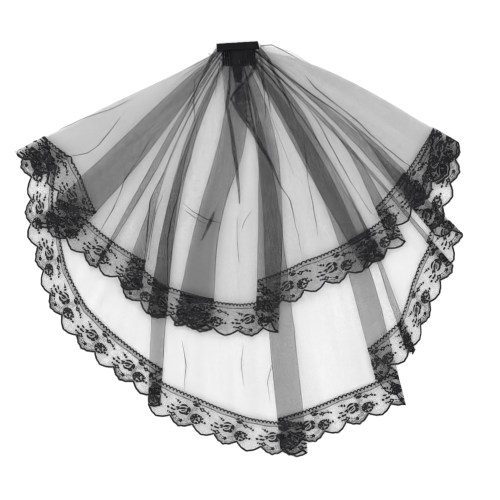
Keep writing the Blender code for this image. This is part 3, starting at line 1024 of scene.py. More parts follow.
@dataclass
class NetTier:
    """The net of one tier, folded in up to three layers."""

    name: str
    fan: Fan
    layer_density: tuple[float, float, float]   # of the lowest, middle and top layer, straight down
    side_density: float = 0.0                   # how much more of it there is at 60 degrees to the side
    middle_side_density: float = 0.0            # the same for the middle layer
    spacing: float = 0.006
    rows: int = 84
    hem_under_lace: float = 0.0058
    band_density: float = 0.25                  # how much more of it there is at the band
    band_fade: float = 0.05

    def build(self) -> bpy.types.Object:
        """Makes the folded net from inside the band to under the lace.

        Returns:
            The finished object.
        """
        rays = self.fan.rays(self.spacing)
        lines = rays.lines
        corners = self.fan.corners(lines)
        reach = np.linalg.norm(corners[3] - corners[2], axis=1) * 3
        shares = np.linspace(0.0, 1.0, self.rows) ** 1.25
        shares = np.repeat(shares[None], len(lines), axis=0)
        tail = 1.0 + np.array([0.5, 1.0])[None] * self.hem_under_lace / reach[:, None]
        shares = np.concatenate([shares, tail], axis=1)
        plan = self.fan.along(lines, shares)
        ahead = self.fan.ahead(lines, np.minimum(shares, NEAR_HEM))
        plan = plan + to_right_of(ahead) * rays.side[:, None, None]
        inside = corners[0] + from_band(0.0, GATHER_DEPTH)
        plan = np.concatenate([inside[:, None], plan], axis=1)
        height = np.repeat((self.fan.base + rays.height)[:, None], plan.shape[1], axis=1)
        points = lie_on_surface(plan, height)
        lengths = np.linalg.norm(np.diff(plan, axis=1), axis=2).cumsum(axis=1)
        lengths = np.concatenate([np.zeros((len(lines), 1)), lengths], axis=1)
        across = run_along(plan[:, -1])
        flow = np.stack([np.repeat(across[:, None], plan.shape[1], axis=1), lengths], axis=-1)
        faces = grid_faces(*plan.shape[:2])
        panels = np.repeat(rays.panel[:-1], plan.shape[1] - 1)
        stock = MeshStock()
        cloth = cloth_map(plan.reshape(-1, 2), faces, panels)
        stock.add(points, faces, cloth, flow, self.density(plan, rays))
        return stock.build(self.name, NET_FINISH.material())

    def density(self, plan: Array, rays: Rays) -> Array:
        """How close the threads are, by the layer, towards the sides and near the band.

        Args:
            plan: Plan points by ray and row.
            rays: The rays.

        Returns:
            A factor for each point.
        """
        layer = np.clip((rays.height - WALL / 2) / LAYER_PITCH, 0, 2)
        density = np.interp(layer, (0, 1, 2), self.layer_density)[:, None]
        angle = np.degrees(np.arctan2(np.abs(plan[..., 0]), np.maximum(-plan[..., 1], 0.001)))
        gain = np.where(np.abs(layer - 1) > 0.5, self.side_density, self.middle_side_density)[:, None]
        sides = 1 + gain * np.minimum(angle / 60, 1.2) ** 2
        at_band = 1 + self.band_density * np.exp(-distance_from_mouth(plan) / self.band_fade)
        return density * sides * at_band


@dataclass
class LaceStrip:
    """The lie of one tier's lace: where a point along and across the flat lace comes to be."""

    fan: Fan
    chart: list[FoldLine]
    phase: float = 0.0            # length along the lace before the first repeat starts
    spacing: float = 0.0015
    lean_limit: float = 0.45      # sine of the most that a ray may lean
    lean_window: int = 13         # rays that the lean is evened out over
    lean_fade: float = 0.03       # length at each end over which the lean fades out
    roundness: float = 0.75       # of a scallop, which is pointed for the rest
    wave_count: int = 4           # small waves on a scallop
    flowered_wave: float = 0.0007
    plain_wave: float = 0.0003

    def __post_init__(self) -> None:
        """Works out the lie once, in small steps along the lace."""
        rays = self.fan.rays(self.spacing, self.chart)
        ends = np.full((len(rays.lines), 1), NEAR_HEM)
        self.hem = self.fan.along(rays.lines, np.ones_like(ends))[:, 0]
        self.ahead = self.fan.ahead(rays.lines, ends)[:, 0]
        self.side, self.panel = rays.side, rays.panel
        self.height = self.fan.base + rays.height
        self.facing_right, self.facing_up = rays.facing_right, rays.facing_up
        middle = self.hem + self.ahead * (LACE_WIDTH / 2) + to_right_of(self.ahead) * self.side[:, None]
        steps = np.hypot(np.linalg.norm(np.diff(middle, axis=0), axis=1), np.diff(self.height))
        self.distance = np.concatenate([[0.0], steps.cumsum()])
        self.length = float(self.distance[-1])
        self.lean = self.lean_of_rays(middle)

    def lean_of_rays(self, middle: Array) -> Array:
        """How far each ray leans from straight across the lace.

        Args:
            middle: Plan points along the middle of the lace, one for each ray.

        Returns:
            An angle for each ray, in radians, positive towards the lace's far end.
        """
        forward = unit(np.gradient(middle, axis=0))
        slope = np.sum(forward * self.ahead, axis=1)
        lean = np.arcsin(np.clip(slope, -self.lean_limit, self.lean_limit))
        flat = (self.side == 0.0) & (np.roll(self.side, 1) == 0.0) & (np.roll(self.side, -1) == 0.0)
        lean = np.interp(self.distance, self.distance[flat], lean[flat])
        window = np.full(self.lean_window, 1 / self.lean_window)
        lean = np.convolve(np.pad(lean, self.lean_window // 2, mode="edge"), window, mode="valid")
        from_end = np.minimum(self.distance, self.length - self.distance)
        return lean * smoothstep(from_end / self.lean_fade)

    def at(self, columns: Array, distance: Array) -> Array:
        """Values of a column of the lie at distances along the lace.

        Args:
            columns: One or more values for each ray.
            distance: Distances along the middle of the lace.

        Returns:
            The values there.
        """
        if columns.ndim == 1:
            return np.interp(distance, self.distance, columns)
        return np.stack([np.interp(distance, self.distance, column) for column in columns.T], axis=-1)

    def on_rays(self, ray: Array, out: Array, raised: Array | float = 0.0) -> Array:
        """Points in space.

        Args:
            ray: Which ray, by its distance along the middle of the lace.
            out: Distance along the ray from the heading.
            raised: Height over the lace's face.

        Returns:
            Points in space.
        """
        ahead = unit(self.at(self.ahead, ray))
        facing_right, facing_up = self.at(self.facing_right, ray), self.at(self.facing_up, ray)
        shift = self.at(self.side, ray) + facing_right * raised
        plan = self.at(self.hem, ray) + ahead * out[..., None] + to_right_of(ahead) * shift[..., None]
        return lie_on_surface(plan, self.at(self.height, ray) + facing_up * raised)

    def place(self, flat: Array, raised: Array | float = 0.0) -> Array:
        """Where points of the flat lace come to lie.

        Args:
            flat: Lace points, each given along the lace and then out from its heading.
            raised: Height over the lace's face.

        Returns:
            Points in space.
        """
        ray, offset = flat[..., 0], flat[..., 1] - LACE_WIDTH / 2
        for _ in range(3):
            lean = self.at(self.lean, ray)
            ray = np.clip(flat[..., 0] - offset * np.tan(lean), 0.0, self.length)
        return self.on_rays(ray, flat[..., 1] / np.cos(lean), raised)

    def ray_edge(self, ray: Array) -> Array:
        """How far out rays leave the lace, at the scallops.

        Args:
            ray: Which rays, by their distance along the middle of the lace.

        Returns:
            Distance across the lace from its heading, for each.
        """
        along, lean = ray, self.at(self.lean, ray)
        for _ in range(3):
            out = self.edge(along)
            along = ray + (out - LACE_WIDTH / 2) * np.tan(lean)
        return out

    def edge(self, distance: Array) -> Array:
        """Width of the lace, with its scallops and the small waves on them.

        Args:
            distance: Distances along the lace.

        Returns:
            A width for each.
        """
        place = (distance - self.phase) / LOBE_LENGTH
        flowered = np.floor(place) % 2 == 0
        pointed = 1 - np.abs(2 * (place % 1.0) - 1)
        rounded = np.abs(np.sin(np.pi * place)) ** LOBE_FULLNESS
        fullness = self.roundness * rounded + (1 - self.roundness) * pointed
        height = np.where(flowered, self.flowered_wave, self.plain_wave)
        waves = height * np.cos(2 * np.pi * self.wave_count * place)
        return LACE_WIDTH - LOBE_DEPTH * (1 - fullness) + waves * fullness


@dataclass
class Stroke:
    """A line of satin stitches on the flat lace, in millimetres of one repeat."""

    path: Array
    width: Array

    @staticmethod
    def curve(points: Iterable[tuple[float, float]], width: float, taper: float = 1.0,
              count: int = 9) -> "Stroke":
        """A smooth stroke through a few points, thinner at its ends.

        Args:
            points: Points that it runs through.
            width: Its largest width.
            taper: 0 keeps the width to the ends, 1 brings them to a point.
            count: Points along it.

        Returns:
            The stroke.
        """
        knots = np.array(list(points), float)
        if len(knots) > 2:
            place = run_along(knots)
            path = catmull_rom(knots, place, np.linspace(0.0, place[-1], count))
        else:
            path = knots[0] + (knots[1] - knots[0]) * np.linspace(0.0, 1.0, count)[:, None]
        return Stroke.tapered(path, width, taper)

    @staticmethod
    def ring(centre: tuple[float, float], radius: float, width: float, start: float = 0.0,
             end: float = 360.0, squash: float = 1.0, taper: float = 0.0, count: int = 14) -> "Stroke":
        """A round or bowed stroke about a centre, from one angle to another in degrees.

        Args:
            centre: Its middle.
            radius: To the middle of the stroke.
            width: Of the stroke.
            start: Angle of its first end.
            end: Angle of its last end.
            squash: Height of the ring as a share of its width.
            taper: 0 keeps the width, 1 brings the ends to a point.
            count: Points along it.

        Returns:
            The stroke.
        """
        angle = np.radians(np.linspace(start, end, count))
        path = np.stack([radius * np.cos(angle), radius * squash * np.sin(angle)], axis=-1)
        return Stroke.tapered(path + np.array(centre), width, taper)

    @staticmethod
    def tapered(path: Array, width: float, taper: float) -> "Stroke":
        """A stroke that gets thinner towards its ends.

        Args:
            path: Points along it.
            width: Its largest width.
            taper: 0 keeps the width to the ends, 1 brings them to a point.

        Returns:
            The stroke.
        """
        share = np.linspace(0.0, 1.0, len(path))
        swell = np.sin(np.pi * np.clip(share, 0.02, 0.98)) ** 0.6
        return Stroke(path, width * (1 - taper + taper * swell))


def catmull_rom(knots: Array, place: Array, wanted: Array) -> Array:
    """Points on a smooth curve through knots.

    Args:
        knots: Points that the curve runs through.
        place: Distance of each along the curve.
        wanted: Distances to find points at.

    Returns:
        The points.
    """
    slopes = np.gradient(knots, place, axis=0)
    run = np.clip(np.searchsorted(place, wanted, side="right") - 1, 0, len(knots) - 2)
    length = place[run + 1] - place[run]
    t = ((wanted - place[run]) / length)[:, None]
    length = length[:, None]
    first, second = knots[run], knots[run + 1]
    return ((2 * t ** 3 - 3 * t ** 2 + 1) * first + (t ** 3 - 2 * t ** 2 + t) * length * slopes[run]
            + (3 * t ** 2 - 2 * t ** 3) * second + (t ** 3 - t ** 2) * length * slopes[run + 1])


@dataclass
class RoseRepeat:
    """One repeat of the lace's flowers, drawn flat in millimetres, along the lace and out from it."""

    side_rose: tuple[float, float] = (18.5, 23.0)
    open_rose: tuple[float, float] = (42.0, 30.6)
    bud: tuple[float, float] = (34.0, 7.0)
    blade_width: float = 1.25       # of a leaf's two blades, share of the leaf's own
    blade_taper: float = 0.8

    def strokes(self) -> list[Stroke]:
        """All the strokes of the repeat."""
        return [*self.draw_side_rose(), *self.draw_open_rose(), *self.draw_bud(), *self.draw_leaves(),
                *self.hollow_flower((3.6, 36.8), 2.3), *self.hollow_flower((46.4, 12.4), 2.1),
                *self.filled_flower((19.6, 42.0)), *self.open_work()]

    @staticmethod
    def shifted(centre: tuple[float, float], spots: Spots) -> list[tuple[float, float]]:
        """Spots given from a centre, moved to it."""
        return [(centre[0] + x, centre[1] + y) for x, y in spots]

    def draw_side_rose(self) -> list[Stroke]:
        """A rose seen from the side: layered crescents beside its heart, and petals round it.

        Returns:
            Its strokes.
        """
        centre = self.side_rose
        shapes = [
            (3.2, [(-9.2, -3.6), (-5.4, -6.2), (-0.8, -7.2), (3.6, -6.6)]),
            (3.6, [(-8.4, 2.0), (-5.0, -0.6), (-1.2, -2.0), (2.0, -2.8)]),
            (2.0, [(-5.4, 3.4), (-1.6, 2.2), (1.6, -0.2)]),
            (3.4, [(-7.8, 5.8), (-3.8, 7.2), (0.4, 6.4), (3.0, 4.2)]),
        ]
        strokes = [Stroke.curve(self.shifted(centre, spots), width, 0.75) for width, spots in shapes]
        for radius, width, start, end in ((8.0, 4.2, -62, 12), (7.9, 4.0, 22, 80), (4.8, 2.9, -72, 66)):
            middle = (centre[0] + 0.9, centre[1])
            strokes.append(Stroke.ring(middle, radius, width, start, end, squash=0.88, taper=0.7))
        return strokes

    def draw_open_rose(self) -> list[Stroke]:
        """A rose seen from the front: a curled heart inside a broken ring of petals.

        Returns:
            Its strokes.
        """
        centre = self.open_rose
        strokes = [Stroke.curve(self.shifted(centre, [(-0.4, 1.6), (2.6, 1.2), (5.2, 2.6)]), 3.6, 0.6),
                   Stroke.ring(centre, 2.6, 2.8, 110, 330, squash=0.85, taper=0.5),
                   Stroke.ring(centre, 5.3, 2.5, 110, 300, squash=0.85, taper=0.6)]
        for petal in range(8):
            start = 45 * petal + 8
            strokes.append(Stroke.ring(centre, 8.1, 3.9, start, start + 37, squash=0.86, taper=0.7, count=7))
            away = math.radians(start + 40)
            x, y = math.cos(away), math.sin(away)
            tip = [(9.9 * x, 8.5 * y), (8.0 * x, 6.9 * y)]
            strokes.append(Stroke.curve(self.shifted(centre, tip), 2.0, 0.3, 3))
        return strokes

    def draw_bud(self) -> list[Stroke]:
        """The half-open bud by the heading.

        Returns:
            Its strokes.
        """
        arcs = ((5.8, 3.0, 172, 262), (5.8, 2.8, 285, 358), (5.5, 3.4, 22, 158))
        strokes = [Stroke.ring(self.bud, radius, width, start, end, squash=0.56, taper=0.5)
                   for radius, width, start, end in arcs]
        heart = self.shifted(self.bud, [(-3.0, 0.0), (0.2, 0.7), (3.4, -0.3)])
        return [*strokes, Stroke.curve(heart, 2.0, 0.6)]

    def draw_leaves(self) -> list[Stroke]:
        """Leaves and stems round the flowers, each of two short blades.

        Returns:
            Their strokes.
        """
        shapes = [
            (3.9, [(1.2, 13.0), (4.4, 13.7), (8.0, 15.6)]),
            (1.5, [(-3.4, 11.4), (-1.0, 12.2), (1.2, 13.0)]),
            (2.4, [(-6.4, 23.0), (0.0, 24.4), (5.6, 24.0), (9.8, 22.0)]),
            (3.0, [(-11.0, 28.6), (-6.6, 30.0), (-2.6, 29.4), (0.8, 30.0)]),
            (2.4, [(-0.2, 30.2), (4.4, 29.0), (7.2, 26.8), (9.8, 24.6)]),
            (3.0, [(-7.4, 35.6), (-4.6, 36.6), (-1.4, 36.6)]),
            (1.3, [(9.4, 37.6), (13.6, 39.6), (17.0, 40.6)]),
            (1.2, [(8.8, 40.8), (13.0, 42.8), (17.0, 43.8)]),
            (3.0, [(47.6, 24.4), (50.6, 25.2), (53.6, 26.8)]),
            (3.2, [(51.4, 31.0), (55.6, 31.6), (60.0, 30.8)]),
            (1.6, [(51.0, 12.6), (54.4, 13.4), (57.0, 14.4)]),
            (3.1, [(55.6, 13.6), (59.0, 15.2), (62.6, 17.0)]),
            (1.4, [(53.6, 13.4), (55.4, 11.8), (57.8, 11.0)]),
            (1.8, [(38.4, 8.6), (40.6, 10.4), (42.6, 11.6)]),
        ]
        blades = []
        for width, spots in shapes:
            whole = Stroke.curve(spots, width, count=17).path
            for part in (whole[:8], whole[9:]):
                ends_and_middle = part[[0, 3, -1]]
                blades.append(Stroke.curve(ends_and_middle, self.blade_width * width, self.blade_taper, 5))
        return blades

    def hollow_flower(self, centre: tuple[float, float], radius: float) -> list[Stroke]:
        """A small open flower with four full petals.

        Args:
            centre: Its middle.
            radius: Of its open ring.

        Returns:
            Its strokes.
        """
        strokes = [Stroke.ring(centre, radius, 2.0)]
        for angle, length, width in ((0, 2.7, 3.3), (90, 1.5, 2.6), (180, 2.7, 3.2), (270, 1.5, 2.7)):
            x, y = math.cos(math.radians(angle)), math.sin(math.radians(angle))
            near, far = radius + 0.3, radius + length
            spots = [(x * near, y * near), (x * far, y * far)]
            strokes.append(Stroke.curve(self.shifted(centre, spots), width, 0.7, 5))
        return strokes

    def filled_flower(self, centre: tuple[float, float]) -> list[Stroke]:
        """A small closed flower with five petals.

        Args:
            centre: Its middle.

        Returns:
            Its strokes.
        """
        strokes = [Stroke.ring(centre, 1.2, 2.8)]
        for petal in range(5):
            x, y = math.cos(math.radians(72 * petal)), math.sin(math.radians(72 * petal))
            spots = [(1.3 * x, 1.3 * y), (3.5 * x, 3.3 * y)]
            strokes.append(Stroke.curve(self.shifted(centre, spots), 2.3, 0.6, 4))
        return strokes

    def open_work(self) -> list[Stroke]:
        """Short bars between the flowers, which darken the ground there.

        Returns:
            The bars.
        """
        strokes = []
        patches = (((26.0, 19.0), 4, 9, 0.35), ((31.0, 13.6), 5, 3, -0.3), ((23.0, 36.0), 5, 3, 0.5))
        for (left, top), columns, rows, slant in patches:
            for row in range(rows):
                for column in range(columns):
                    x, y = left + 1.9 * column + slant * row, top + 2.0 * row + 0.6 * (column % 2)
                    if math.dist((x, y), self.open_rose) > 9.8 and math.dist((x, y), self.side_rose) > 9.6:
                        strokes.append(Stroke.curve([(x - 0.6, y), (x + 0.6, y + 0.3)], 1.0, 0.3, 3))
        return strokes


@dataclass
class LaceTier:
    """The lace edge of one tier: its fine ground, and the stitched flowers, outlines and heading on it."""

    name: str
    strip: LaceStrip
    repeat: RoseRepeat = field(default_factory=RoseRepeat)
    ground_step: float = 0.0022
    ground_rows: int = 16
    raised: float = 0.00025
    heading_pitch: float = 0.0067
    heading_depth: float = 0.0046
    heading_width: float = 0.0024
    picot_pitch: float = 0.0021
    picot_height: float = 0.0006
    picot_width: float = 0.0005
    cord_inset: float = 0.0012
    cord_width: float = 0.0026
    outline_insets: tuple[float, float] = (0.0036, 0.0052)
    outline_width: float = 0.0006
    seams: Spots = ((0.0046, 0.0005), (0.0056, 0.0006))   # distance from the heading, and width
    margin: float = 0.0005      # from a stitch to the lace's end

    def ground(self) -> bpy.types.Object:
        """The see-through ground, cut to the scallops.

        Returns:
            The finished object.
        """
        strip = self.strip
        panel_ends = np.flatnonzero(np.diff(strip.panel)) + 1
        stock = MeshStock()
        regular = np.arange(0.0, strip.length, self.ground_step)
        folds = strip.distance[(strip.side != 0.0) | np.isin(np.arange(len(strip.side)), panel_ends)]
        along = np.unique(np.round(np.concatenate([regular, folds, [strip.length]]), 6))
        share = np.linspace(0.0, 1.0, self.ground_rows)[None]
        out = share * strip.ray_edge(along)[:, None]
        lean = strip.at(strip.lean, along)[:, None]
        flat = np.stack([along[:, None] + (out - LACE_WIDTH / 2) * np.tan(lean), out], axis=-1)
        rays = np.repeat(along[:, None], self.ground_rows, axis=1)
        stock.add_grid(strip.on_rays(rays, out / np.cos(lean)), flat)
        return stock.build(self.name, GROUND_FINISH.material())

    def stitches(self) -> bpy.types.Object:
        """Every stitched line of the lace as raised satin strokes.

        Returns:
            The finished object.
        """
        stock = MeshStock()
        pattern = self.repeat.strokes()
        period = 2 * LOBE_LENGTH
        first = -math.ceil(self.strip.phase / period)
        for number in range(first, math.ceil((self.strip.length - self.strip.phase) / period) + 1):
            origin = self.strip.phase + number * period
            for stroke in pattern:
                self.sew(stock, stroke.path / 1000 + np.array([origin, 0.0]), stroke.width / 1000)
            self.inner_outline(stock, origin)
        self.scallop_cord(stock)
        self.heading(stock)
        return stock.build(self.name + "_stitches", STITCH_FINISH.material())

    def sew(self, stock: MeshStock, path: Array, width: Array) -> None:
        """Adds one stroke with a rounded top to the mesh, if all of it lies on the lace.

        Args:
            stock: The mesh that grows.
            path: Flat lace points along the stroke.
            width: Its width at each of them.
        """
        if path[:, 0].min() < self.margin or path[:, 0].max() > self.strip.length - self.margin:
            return
        tangent = unit(np.gradient(path, axis=0))
        across = to_right_of(tangent)
        profile = np.linspace(-1.0, 1.0, 5)
        flat = path[:, None] + across[:, None] * (profile[None, :, None] * width[:, None, None] / 2)
        crown = np.minimum(width, 0.0016)[:, None] * 0.35 * np.sqrt(np.maximum(1 - profile ** 2, 0.0))[None]
        length = run_along(path)
        flow = np.stack(np.broadcast_arrays(length[:, None], profile[None] * width[:, None] / 2), axis=-1)
        stock.add_grid(self.strip.place(flat, self.raised + crown), flow)

    def follow(self, start: float, end: float, step: float, out: Callable[[Array], Array]) -> Array:
        """Flat points along the lace at a distance from its heading that a function gives.

        Args:
            start: Where they begin, along the lace.
            end: Where they end.
            step: From one to the next.
            out: Gives the distances from the heading.

        Returns:
            The points.
        """
        along = np.arange(max(start, 0.001), min(end, self.strip.length - 0.001), step)
        return np.stack([along, out(along)], axis=-1)

    def inner_outline(self, stock: MeshStock, origin: float) -> None:
        """The two fine outlines inside the flowered scallop of a repeat.

        Args:
            stock: The mesh that grows.
            origin: Where the repeat starts along the lace.
        """
        start, end = origin + 0.05 * LOBE_LENGTH, origin + 0.95 * LOBE_LENGTH
        for inset in self.outline_insets:
            path = self.follow(start, end, 0.0016, lambda along: self.strip.edge(along) - inset)
            if len(path) > 3:
                self.sew(stock, path, np.full(len(path), self.outline_width))

    def scallop_cord(self, stock: MeshStock) -> None:
        """The cord along the scallops, with fine loops on its outer side.

        Args:
            stock: The mesh that grows.
        """
        edge, length = self.strip.edge, self.strip.length
        path = self.follow(0.0, length, 0.0012, lambda along: edge(along) - self.cord_inset)
        self.sew(stock, path, np.full(len(path), self.cord_width))

        def loops(along: Array) -> Array:
            """Distances of the fine loops from the heading, at places along the lace."""
            loop = np.abs(np.sin(np.pi * along / self.picot_pitch))
            return edge(along) + 0.0001 + self.picot_height * loop

        picots = self.follow(0.0, length, self.picot_pitch / 6, loops)
        self.sew(stock, picots, np.full(len(picots), self.picot_width))

    def heading(self, stock: MeshStock) -> None:
        """The wavy cord at the inner edge, and the two seams that hold the net along the lace.

        Args:
            stock: The mesh that grows.
        """
        length = self.strip.length

        def bows(along: Array) -> Array:
            """Distances of the wavy cord from the heading, at places along the lace."""
            return 0.0018 - self.heading_depth * np.abs(np.sin(np.pi * along / self.heading_pitch)) ** 0.7

        path = self.follow(0.0, length, self.heading_pitch / 8, bows)
        self.sew(stock, path, np.full(len(path), self.heading_width))
        for out, width in self.seams:
            seam = self.follow(0.0, length, 0.002, lambda along: out + 0.0004 * np.sin(along * 150))
            self.sew(stock, seam, np.full(len(seam), width))


@dataclass
class Band:
    """The ribbon band folded over the gathers and the comb, with its seams."""

    wall: float = 0.0009
    steps: int = 72
    stitch_pitch: float = 0.0031
    fold_radius: float = 0.0022     # at the two edges of its closed side
    pucker: float = 0.00022
    fine_pucker: float = 0.00014
    thread: float = 0.00022         # radius of the sewing thread

    def section(self) -> Array:
        """Points along the outside of the folded ribbon.

        Returns:
            Places across the band and up, from its mouth below round to its mouth above.
        """
        back, radius = BAND_DEPTH / 2, self.fold_radius
        points = [(MOUTH, 0.0), (MOUTH / 3, 0.0), (back - radius, 0.0)]
        for centre, start in ((radius, -90), (BAND_HEIGHT - radius, 0)):
            for step in range(7):
                angle = math.radians(start + 15 * step)
                points.append((back - radius + radius * math.cos(angle), centre + radius * math.sin(angle)))
        points += [(MOUTH / 3, BAND_HEIGHT), (MOUTH, BAND_HEIGHT)]
        return np.array(points)

    def build(self) -> list[bpy.types.Object]:
        """Makes the ribbon and its sewing thread.

        Returns:
            The two finished objects.
        """
        section = self.section()
        tangent = unit(np.gradient(section, axis=0))
        inward = np.stack([-tangent[:, 1], tangent[:, 0]], axis=-1)
        outline = np.concatenate([section, (section + inward * self.wall)[::-1]])
        place = run_along(outline)
        share = np.linspace(0.0, 1.0, self.steps + 1)
        x = (share - 0.5)[:, None] * BAND_LENGTH + np.zeros(len(outline))[None]
        slant = BAND_END_SLANT * (BAND_DEPTH / 2 - outline[:, 0]) / BAND_DEPTH
        x += smoothstep((share - 0.8) / 0.2)[:, None] * slant[None]
        pucker = (self.pucker * np.sin(x * 620 + outline[None, :, 1] * 260)
                  + self.fine_pucker * np.sin(x * 1490 + 1.0))
        pucker *= np.sin(np.pi * share)[:, None] ** 0.3
        y = outline[None, :, 0] + pucker * np.sign(-outline[None, :, 0])
        z = np.clip(outline[None, :, 1] + pucker * (outline[None, :, 1] > BAND_HEIGHT / 2), 0.0, None)
        points = np.concatenate([from_band(x, y), z[..., None]], axis=-1)
        flow = np.stack([x, np.broadcast_to(place[None], x.shape)], axis=-1)
        stock = MeshStock()
        stock.add_grid(points, flow, round_rows=True)
        ribbon = stock.build("ribbon_band", RIBBON_FINISH.material())
        self.close_ends(ribbon, len(outline))
        return [ribbon, self.seam()]

    def close_ends(self, ribbon: bpy.types.Object, around: int) -> None:
        """Fills the two cut ends of the ribbon's wall.

        Args:
            ribbon: The ribbon, whose points run round it end by end.
            around: How many points a round has.
        """
        bm = bmesh.new()
        bm.from_mesh(ribbon.data)
        bm.verts.ensure_lookup_table()
        last = len(bm.verts) - around
        half = around // 2
        for start in (0, last):
            for index in range(half - 1):
                outer, inner = start + index, start + around - 1 - index
                bm.faces.new([bm.verts[i] for i in (outer, outer + 1, inner - 1, inner)])
        bmesh.ops.recalc_face_normals(bm, faces=bm.faces)
        bm.to_mesh(ribbon.data)
        bm.free()

    def seam(self) -> bpy.types.Object:
        """Running stitches along the mouth of the band and down its two ends.

        Returns:
            The finished object.
        """
        stock = MeshStock()
        edge_y, top = MOUTH + 0.0022, BAND_HEIGHT + 0.0001
        runs = [((-BAND_LENGTH / 2 + 0.002, edge_y), (BAND_LENGTH / 2 - 0.001, edge_y)),
                ((-BAND_LENGTH / 2 + 0.002, edge_y), (-BAND_LENGTH / 2 + 0.002, BAND_DEPTH / 2 - 0.0024)),
                ((BAND_LENGTH / 2 - 0.0005, edge_y), (BAND_LENGTH / 2 - 0.002, BAND_DEPTH / 2 - 0.0024))]
        for start, end in runs:
            start, end = np.array(start), np.array(end)
            count = max(2, round(np.linalg.norm(end - start) / self.stitch_pitch))
            for number in range(count):
                low, high = (number + 0.2) / count, (number + 0.85) / count
                share = np.linspace(low, high, 6)[:, None]
                line = start + (end - start) * share
                bow = 0.0002 * np.sin(np.pi * np.linspace(0, 1, 6))
                add_tube(stock, line, np.full(6, top) + bow, self.thread)
        return stock.build("band_seam", SEWING_FINISH.material())


def add_tube(stock: MeshStock, line: Array, height: Array, radius: float) -> None:
    """Adds a thin round thread to a mesh.

    Args:
        stock: The mesh that grows.
        line: Points along it in the band's own directions.
        height: The height of each.
        radius: Of the thread.
    """
    tangent = unit(np.gradient(line, axis=0))
    across = to_right_of(tangent)
    angle = np.linspace(0.0, 2 * np.pi, 7)[:-1]
    plan = line[:, None] + across[:, None] * (radius * np.cos(angle))[None, :, None]
    z = height[:, None] + radius * np.sin(angle)[None]
    points = np.concatenate([from_band(plan[..., 0], plan[..., 1]), z[..., None]], axis=-1)
    length = np.linspace(0.0, np.linalg.norm(line[-1] - line[0]), len(line))
    flow = np.stack(np.broadcast_arrays(length[:, None], angle[None] * radius), axis=-1)
    stock.add_grid(points, flow, round_rows=True)


@dataclass
class Comb:
    """The hair comb under the net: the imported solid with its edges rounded."""

    rounding: float = 0.00045

    def build(self) -> bpy.types.Object:
        """Copies the solid, rounds its edges and gives it the plastic finish.

        Returns:
            The finished object.
        """
        bm = bmesh.new()
        bm.from_mesh(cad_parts["comb"].data)
        bmesh.ops.remove_doubles(bm, verts=bm.verts, dist=1e-6)
        bmesh.ops.dissolve_limit(bm, angle_limit=math.radians(1), verts=bm.verts, edges=bm.edges)
        sharp = [edge for edge in bm.edges if edge.is_manifold and edge.calc_face_angle() > math.radians(30)]
        bmesh.ops.bevel(bm, geom=sharp, offset=self.rounding, segments=3, profile=0.6, affect="EDGES",
                        clamp_overlap=True)
        mesh = bpy.data.meshes.new("hair_comb")
        bm.to_mesh(mesh)
        bm.free()
        mesh.shade_smooth()
        mesh.materials.append(PLASTIC_FINISH.material())
        log.info("hair_comb: %d faces", len(mesh.polygons))
        return put("hair_comb", mesh)


@dataclass
class Studio:
    """The pale surface, the soft light and the camera straight above."""

    floor_side: float = 6.0
    floor_grey: float = 0.82
    floor_height: float = -0.0004
    sky: float = 1.95
    overhead: float = 0.15    # the dark ceiling that the camera hangs from
    distance: float = 2.5
    sensor: float = 36.0
    ceiling: tuple[float, float] = (0.84, 0.95)    # heights in the sky between which it turns dark
    lamp_side: float = 1.2
    lamp_power: float = 9.0
    lamp_place: tuple[float, float, float] = (-0.9, 0.9, 1.6)

    def build(self) -> None:
        """Adds all of it to the scene."""
        self.floor()
        self.light()
        self.camera()
        scene = bpy.context.scene
        scene.view_settings.view_transform = "Standard"
        scene.cycles.transparent_max_bounces = 64
        scene.cycles.use_denoising = True
        scene.cycles.filter_width = 1.1

    def floor(self) -> None:
        """A plain matt surface."""
        half = self.floor_side / 2
        mesh = bpy.data.meshes.new("surface")
        corners = [(-half, -half, 0), (half, -half, 0), (half, half, 0), (-half, half, 0)]
        mesh.from_pydata(corners, [], [(0, 1, 2, 3)])
        nodes = Nodes("surface")
        nodes.shader((self.floor_grey,) * 3, 0.9)
        mesh.materials.append(nodes.material)
        made = put("surface", mesh)
        made.location.z = self.floor_height

    def light(self) -> None:
        """Even light from the sides with a dark ceiling, and one large soft lamp for the gloss."""
        world = bpy.data.worlds.new("studio")
        world.use_nodes = True
        tree = world.node_tree
        height = tree.nodes.new("ShaderNodeSeparateXYZ")
        tree.links.new(tree.nodes.new("ShaderNodeTexCoord").outputs["Generated"], height.inputs[0])
        fade = tree.nodes.new("ShaderNodeMapRange")
        fade.interpolation_type = "SMOOTHSTEP"
        tree.links.new(height.outputs["Z"], fade.inputs["Value"])
        limits = (*self.ceiling, self.sky, self.overhead)
        for name, number in zip(("From Min", "From Max", "To Min", "To Max"), limits):
            fade.inputs[name].default_value = number
        background = tree.nodes["Background"]
        background.inputs["Color"].default_value = (1.0, 1.0, 1.0, 1.0)
        tree.links.new(fade.outputs["Result"], background.inputs["Strength"])
        bpy.context.scene.world = world
        lamp = bpy.data.lights.new("softbox", "AREA")
        lamp.shape, lamp.size, lamp.energy = "SQUARE", self.lamp_side, self.lamp_power
        made = put("softbox", lamp)
        made.location = self.lamp_place
        made.rotation_euler = (math.radians(-35), math.radians(-28), 0.0)

    def camera(self) -> None:
        """The camera, which sees as much as the photograph does."""
        data = bpy.data.cameras.new("camera")
        data.sensor_width = self.sensor
        data.lens = self.sensor * self.distance / (IMAGE_SIDE * PIXEL)
        data.clip_end = 20.0
        made = put("camera", data)
        middle = IMAGE_SIDE / 2
        made.location = ((middle - BAND_PIXEL[0]) * PIXEL, (BAND_PIXEL[1] - middle) * PIXEL, self.distance)
        bpy.context.scene.camera = made


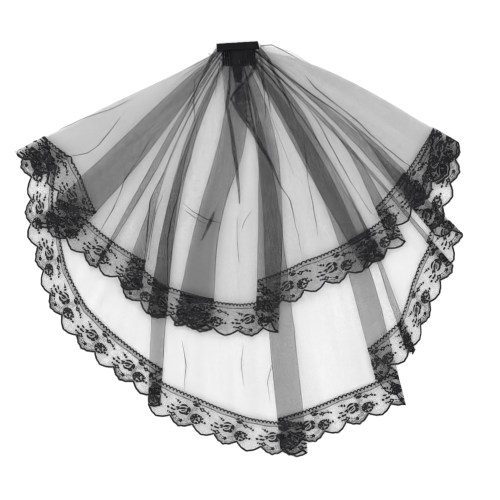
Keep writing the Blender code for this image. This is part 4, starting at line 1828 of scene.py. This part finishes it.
def attach(piece: bpy.types.Object, slot: Slot, *nodes: str) -> None:
    """Makes a piece ride on the one body and hides the solids it stands for.

    Args:
        piece: A finished object.
        slot: Its material slot, not used.
        *nodes: The solids that it stands for, if any.
    """
    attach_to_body(piece, "root")
    if nodes:
        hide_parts(*nodes)


def area_of(piece: bpy.types.Object) -> float:
    """The area of a piece's faces, in square metres."""
    return sum(face.area for face in piece.data.polygons)


@dataclass
class Tier:
    """One tier of the veil: its net, its pleats and its lace."""

    name: str
    fan: Fan
    strip: LaceStrip
    under: str                                  # what it rests on
    creases: list[Crease]
    loose_tucks: list[Crease]
    layer_density: tuple[float, float, float]
    side_density: float
    middle_side_density: float
    gathers: int = 14

    def build(self) -> None:
        """Makes the tier's four pieces and works out the areas of its net and its lace ground."""
        net = NetTier(f"{self.name}_net", self.fan, self.layer_density, self.side_density,
                      self.middle_side_density).build()
        attach(net, Slot.NET, f"{self.name}_tulle")
        pleats = Pleats(f"{self.name}_pleats", self.creases, self.fan, self.gathers,
                        seed=len(self.name) + len(self.creases), loose_tucks=self.loose_tucks).build(net)
        attach(pleats, Slot.NET)
        area = area_of(net)
        lace = LaceTier(f"{self.name}_lace_edge", self.strip)
        ground, stitches = lace.ground(), lace.stitches()
        attach(ground, Slot.LACE, f"{self.name}_lace")
        attach(stitches, Slot.LACE)
        area_of(ground)


def main() -> None:
    """Builds the veil piece by piece, then the studio."""
    logging.basicConfig(level=logging.INFO, format="%(message)s")
    attach(Comb().build(), Slot.PLASTIC, "comb")
    ribbon, seam = Band().build()
    attach(ribbon, Slot.RIBBON, "band")
    attach(seam, Slot.RIBBON)
    lower = Fan(LOWER_CHART, LOWER_REACH, 0.0)
    lower_lace = LaceStrip(lower, LOWER_CHART, phase=0.009)
    Tier("lower", lower, lower_lace, "surface", LOWER_CREASES, [], layer_density=(1.0, 0.78, 1.0),
         side_density=0.0, middle_side_density=0.0).build()
    upper = Fan(UPPER_CHART, UPPER_REACH, UPPER_BASE, edge_bulge=0.011)
    upper_lace_chart = [LEFT_LACE_END, *UPPER_CHART[:-1], RIGHT_LACE_CORNER, RIGHT_LACE_END]
    upper_lace = LaceStrip(upper, upper_lace_chart)
    Tier("upper", upper, upper_lace, "lower_net", UPPER_CREASES, UPPER_LOOSE_TUCKS,
         layer_density=(0.55, 1.80, 0.55), side_density=0.72, middle_side_density=-0.36).build()
    Studio().build()


if __name__ == "__main__":
    main()
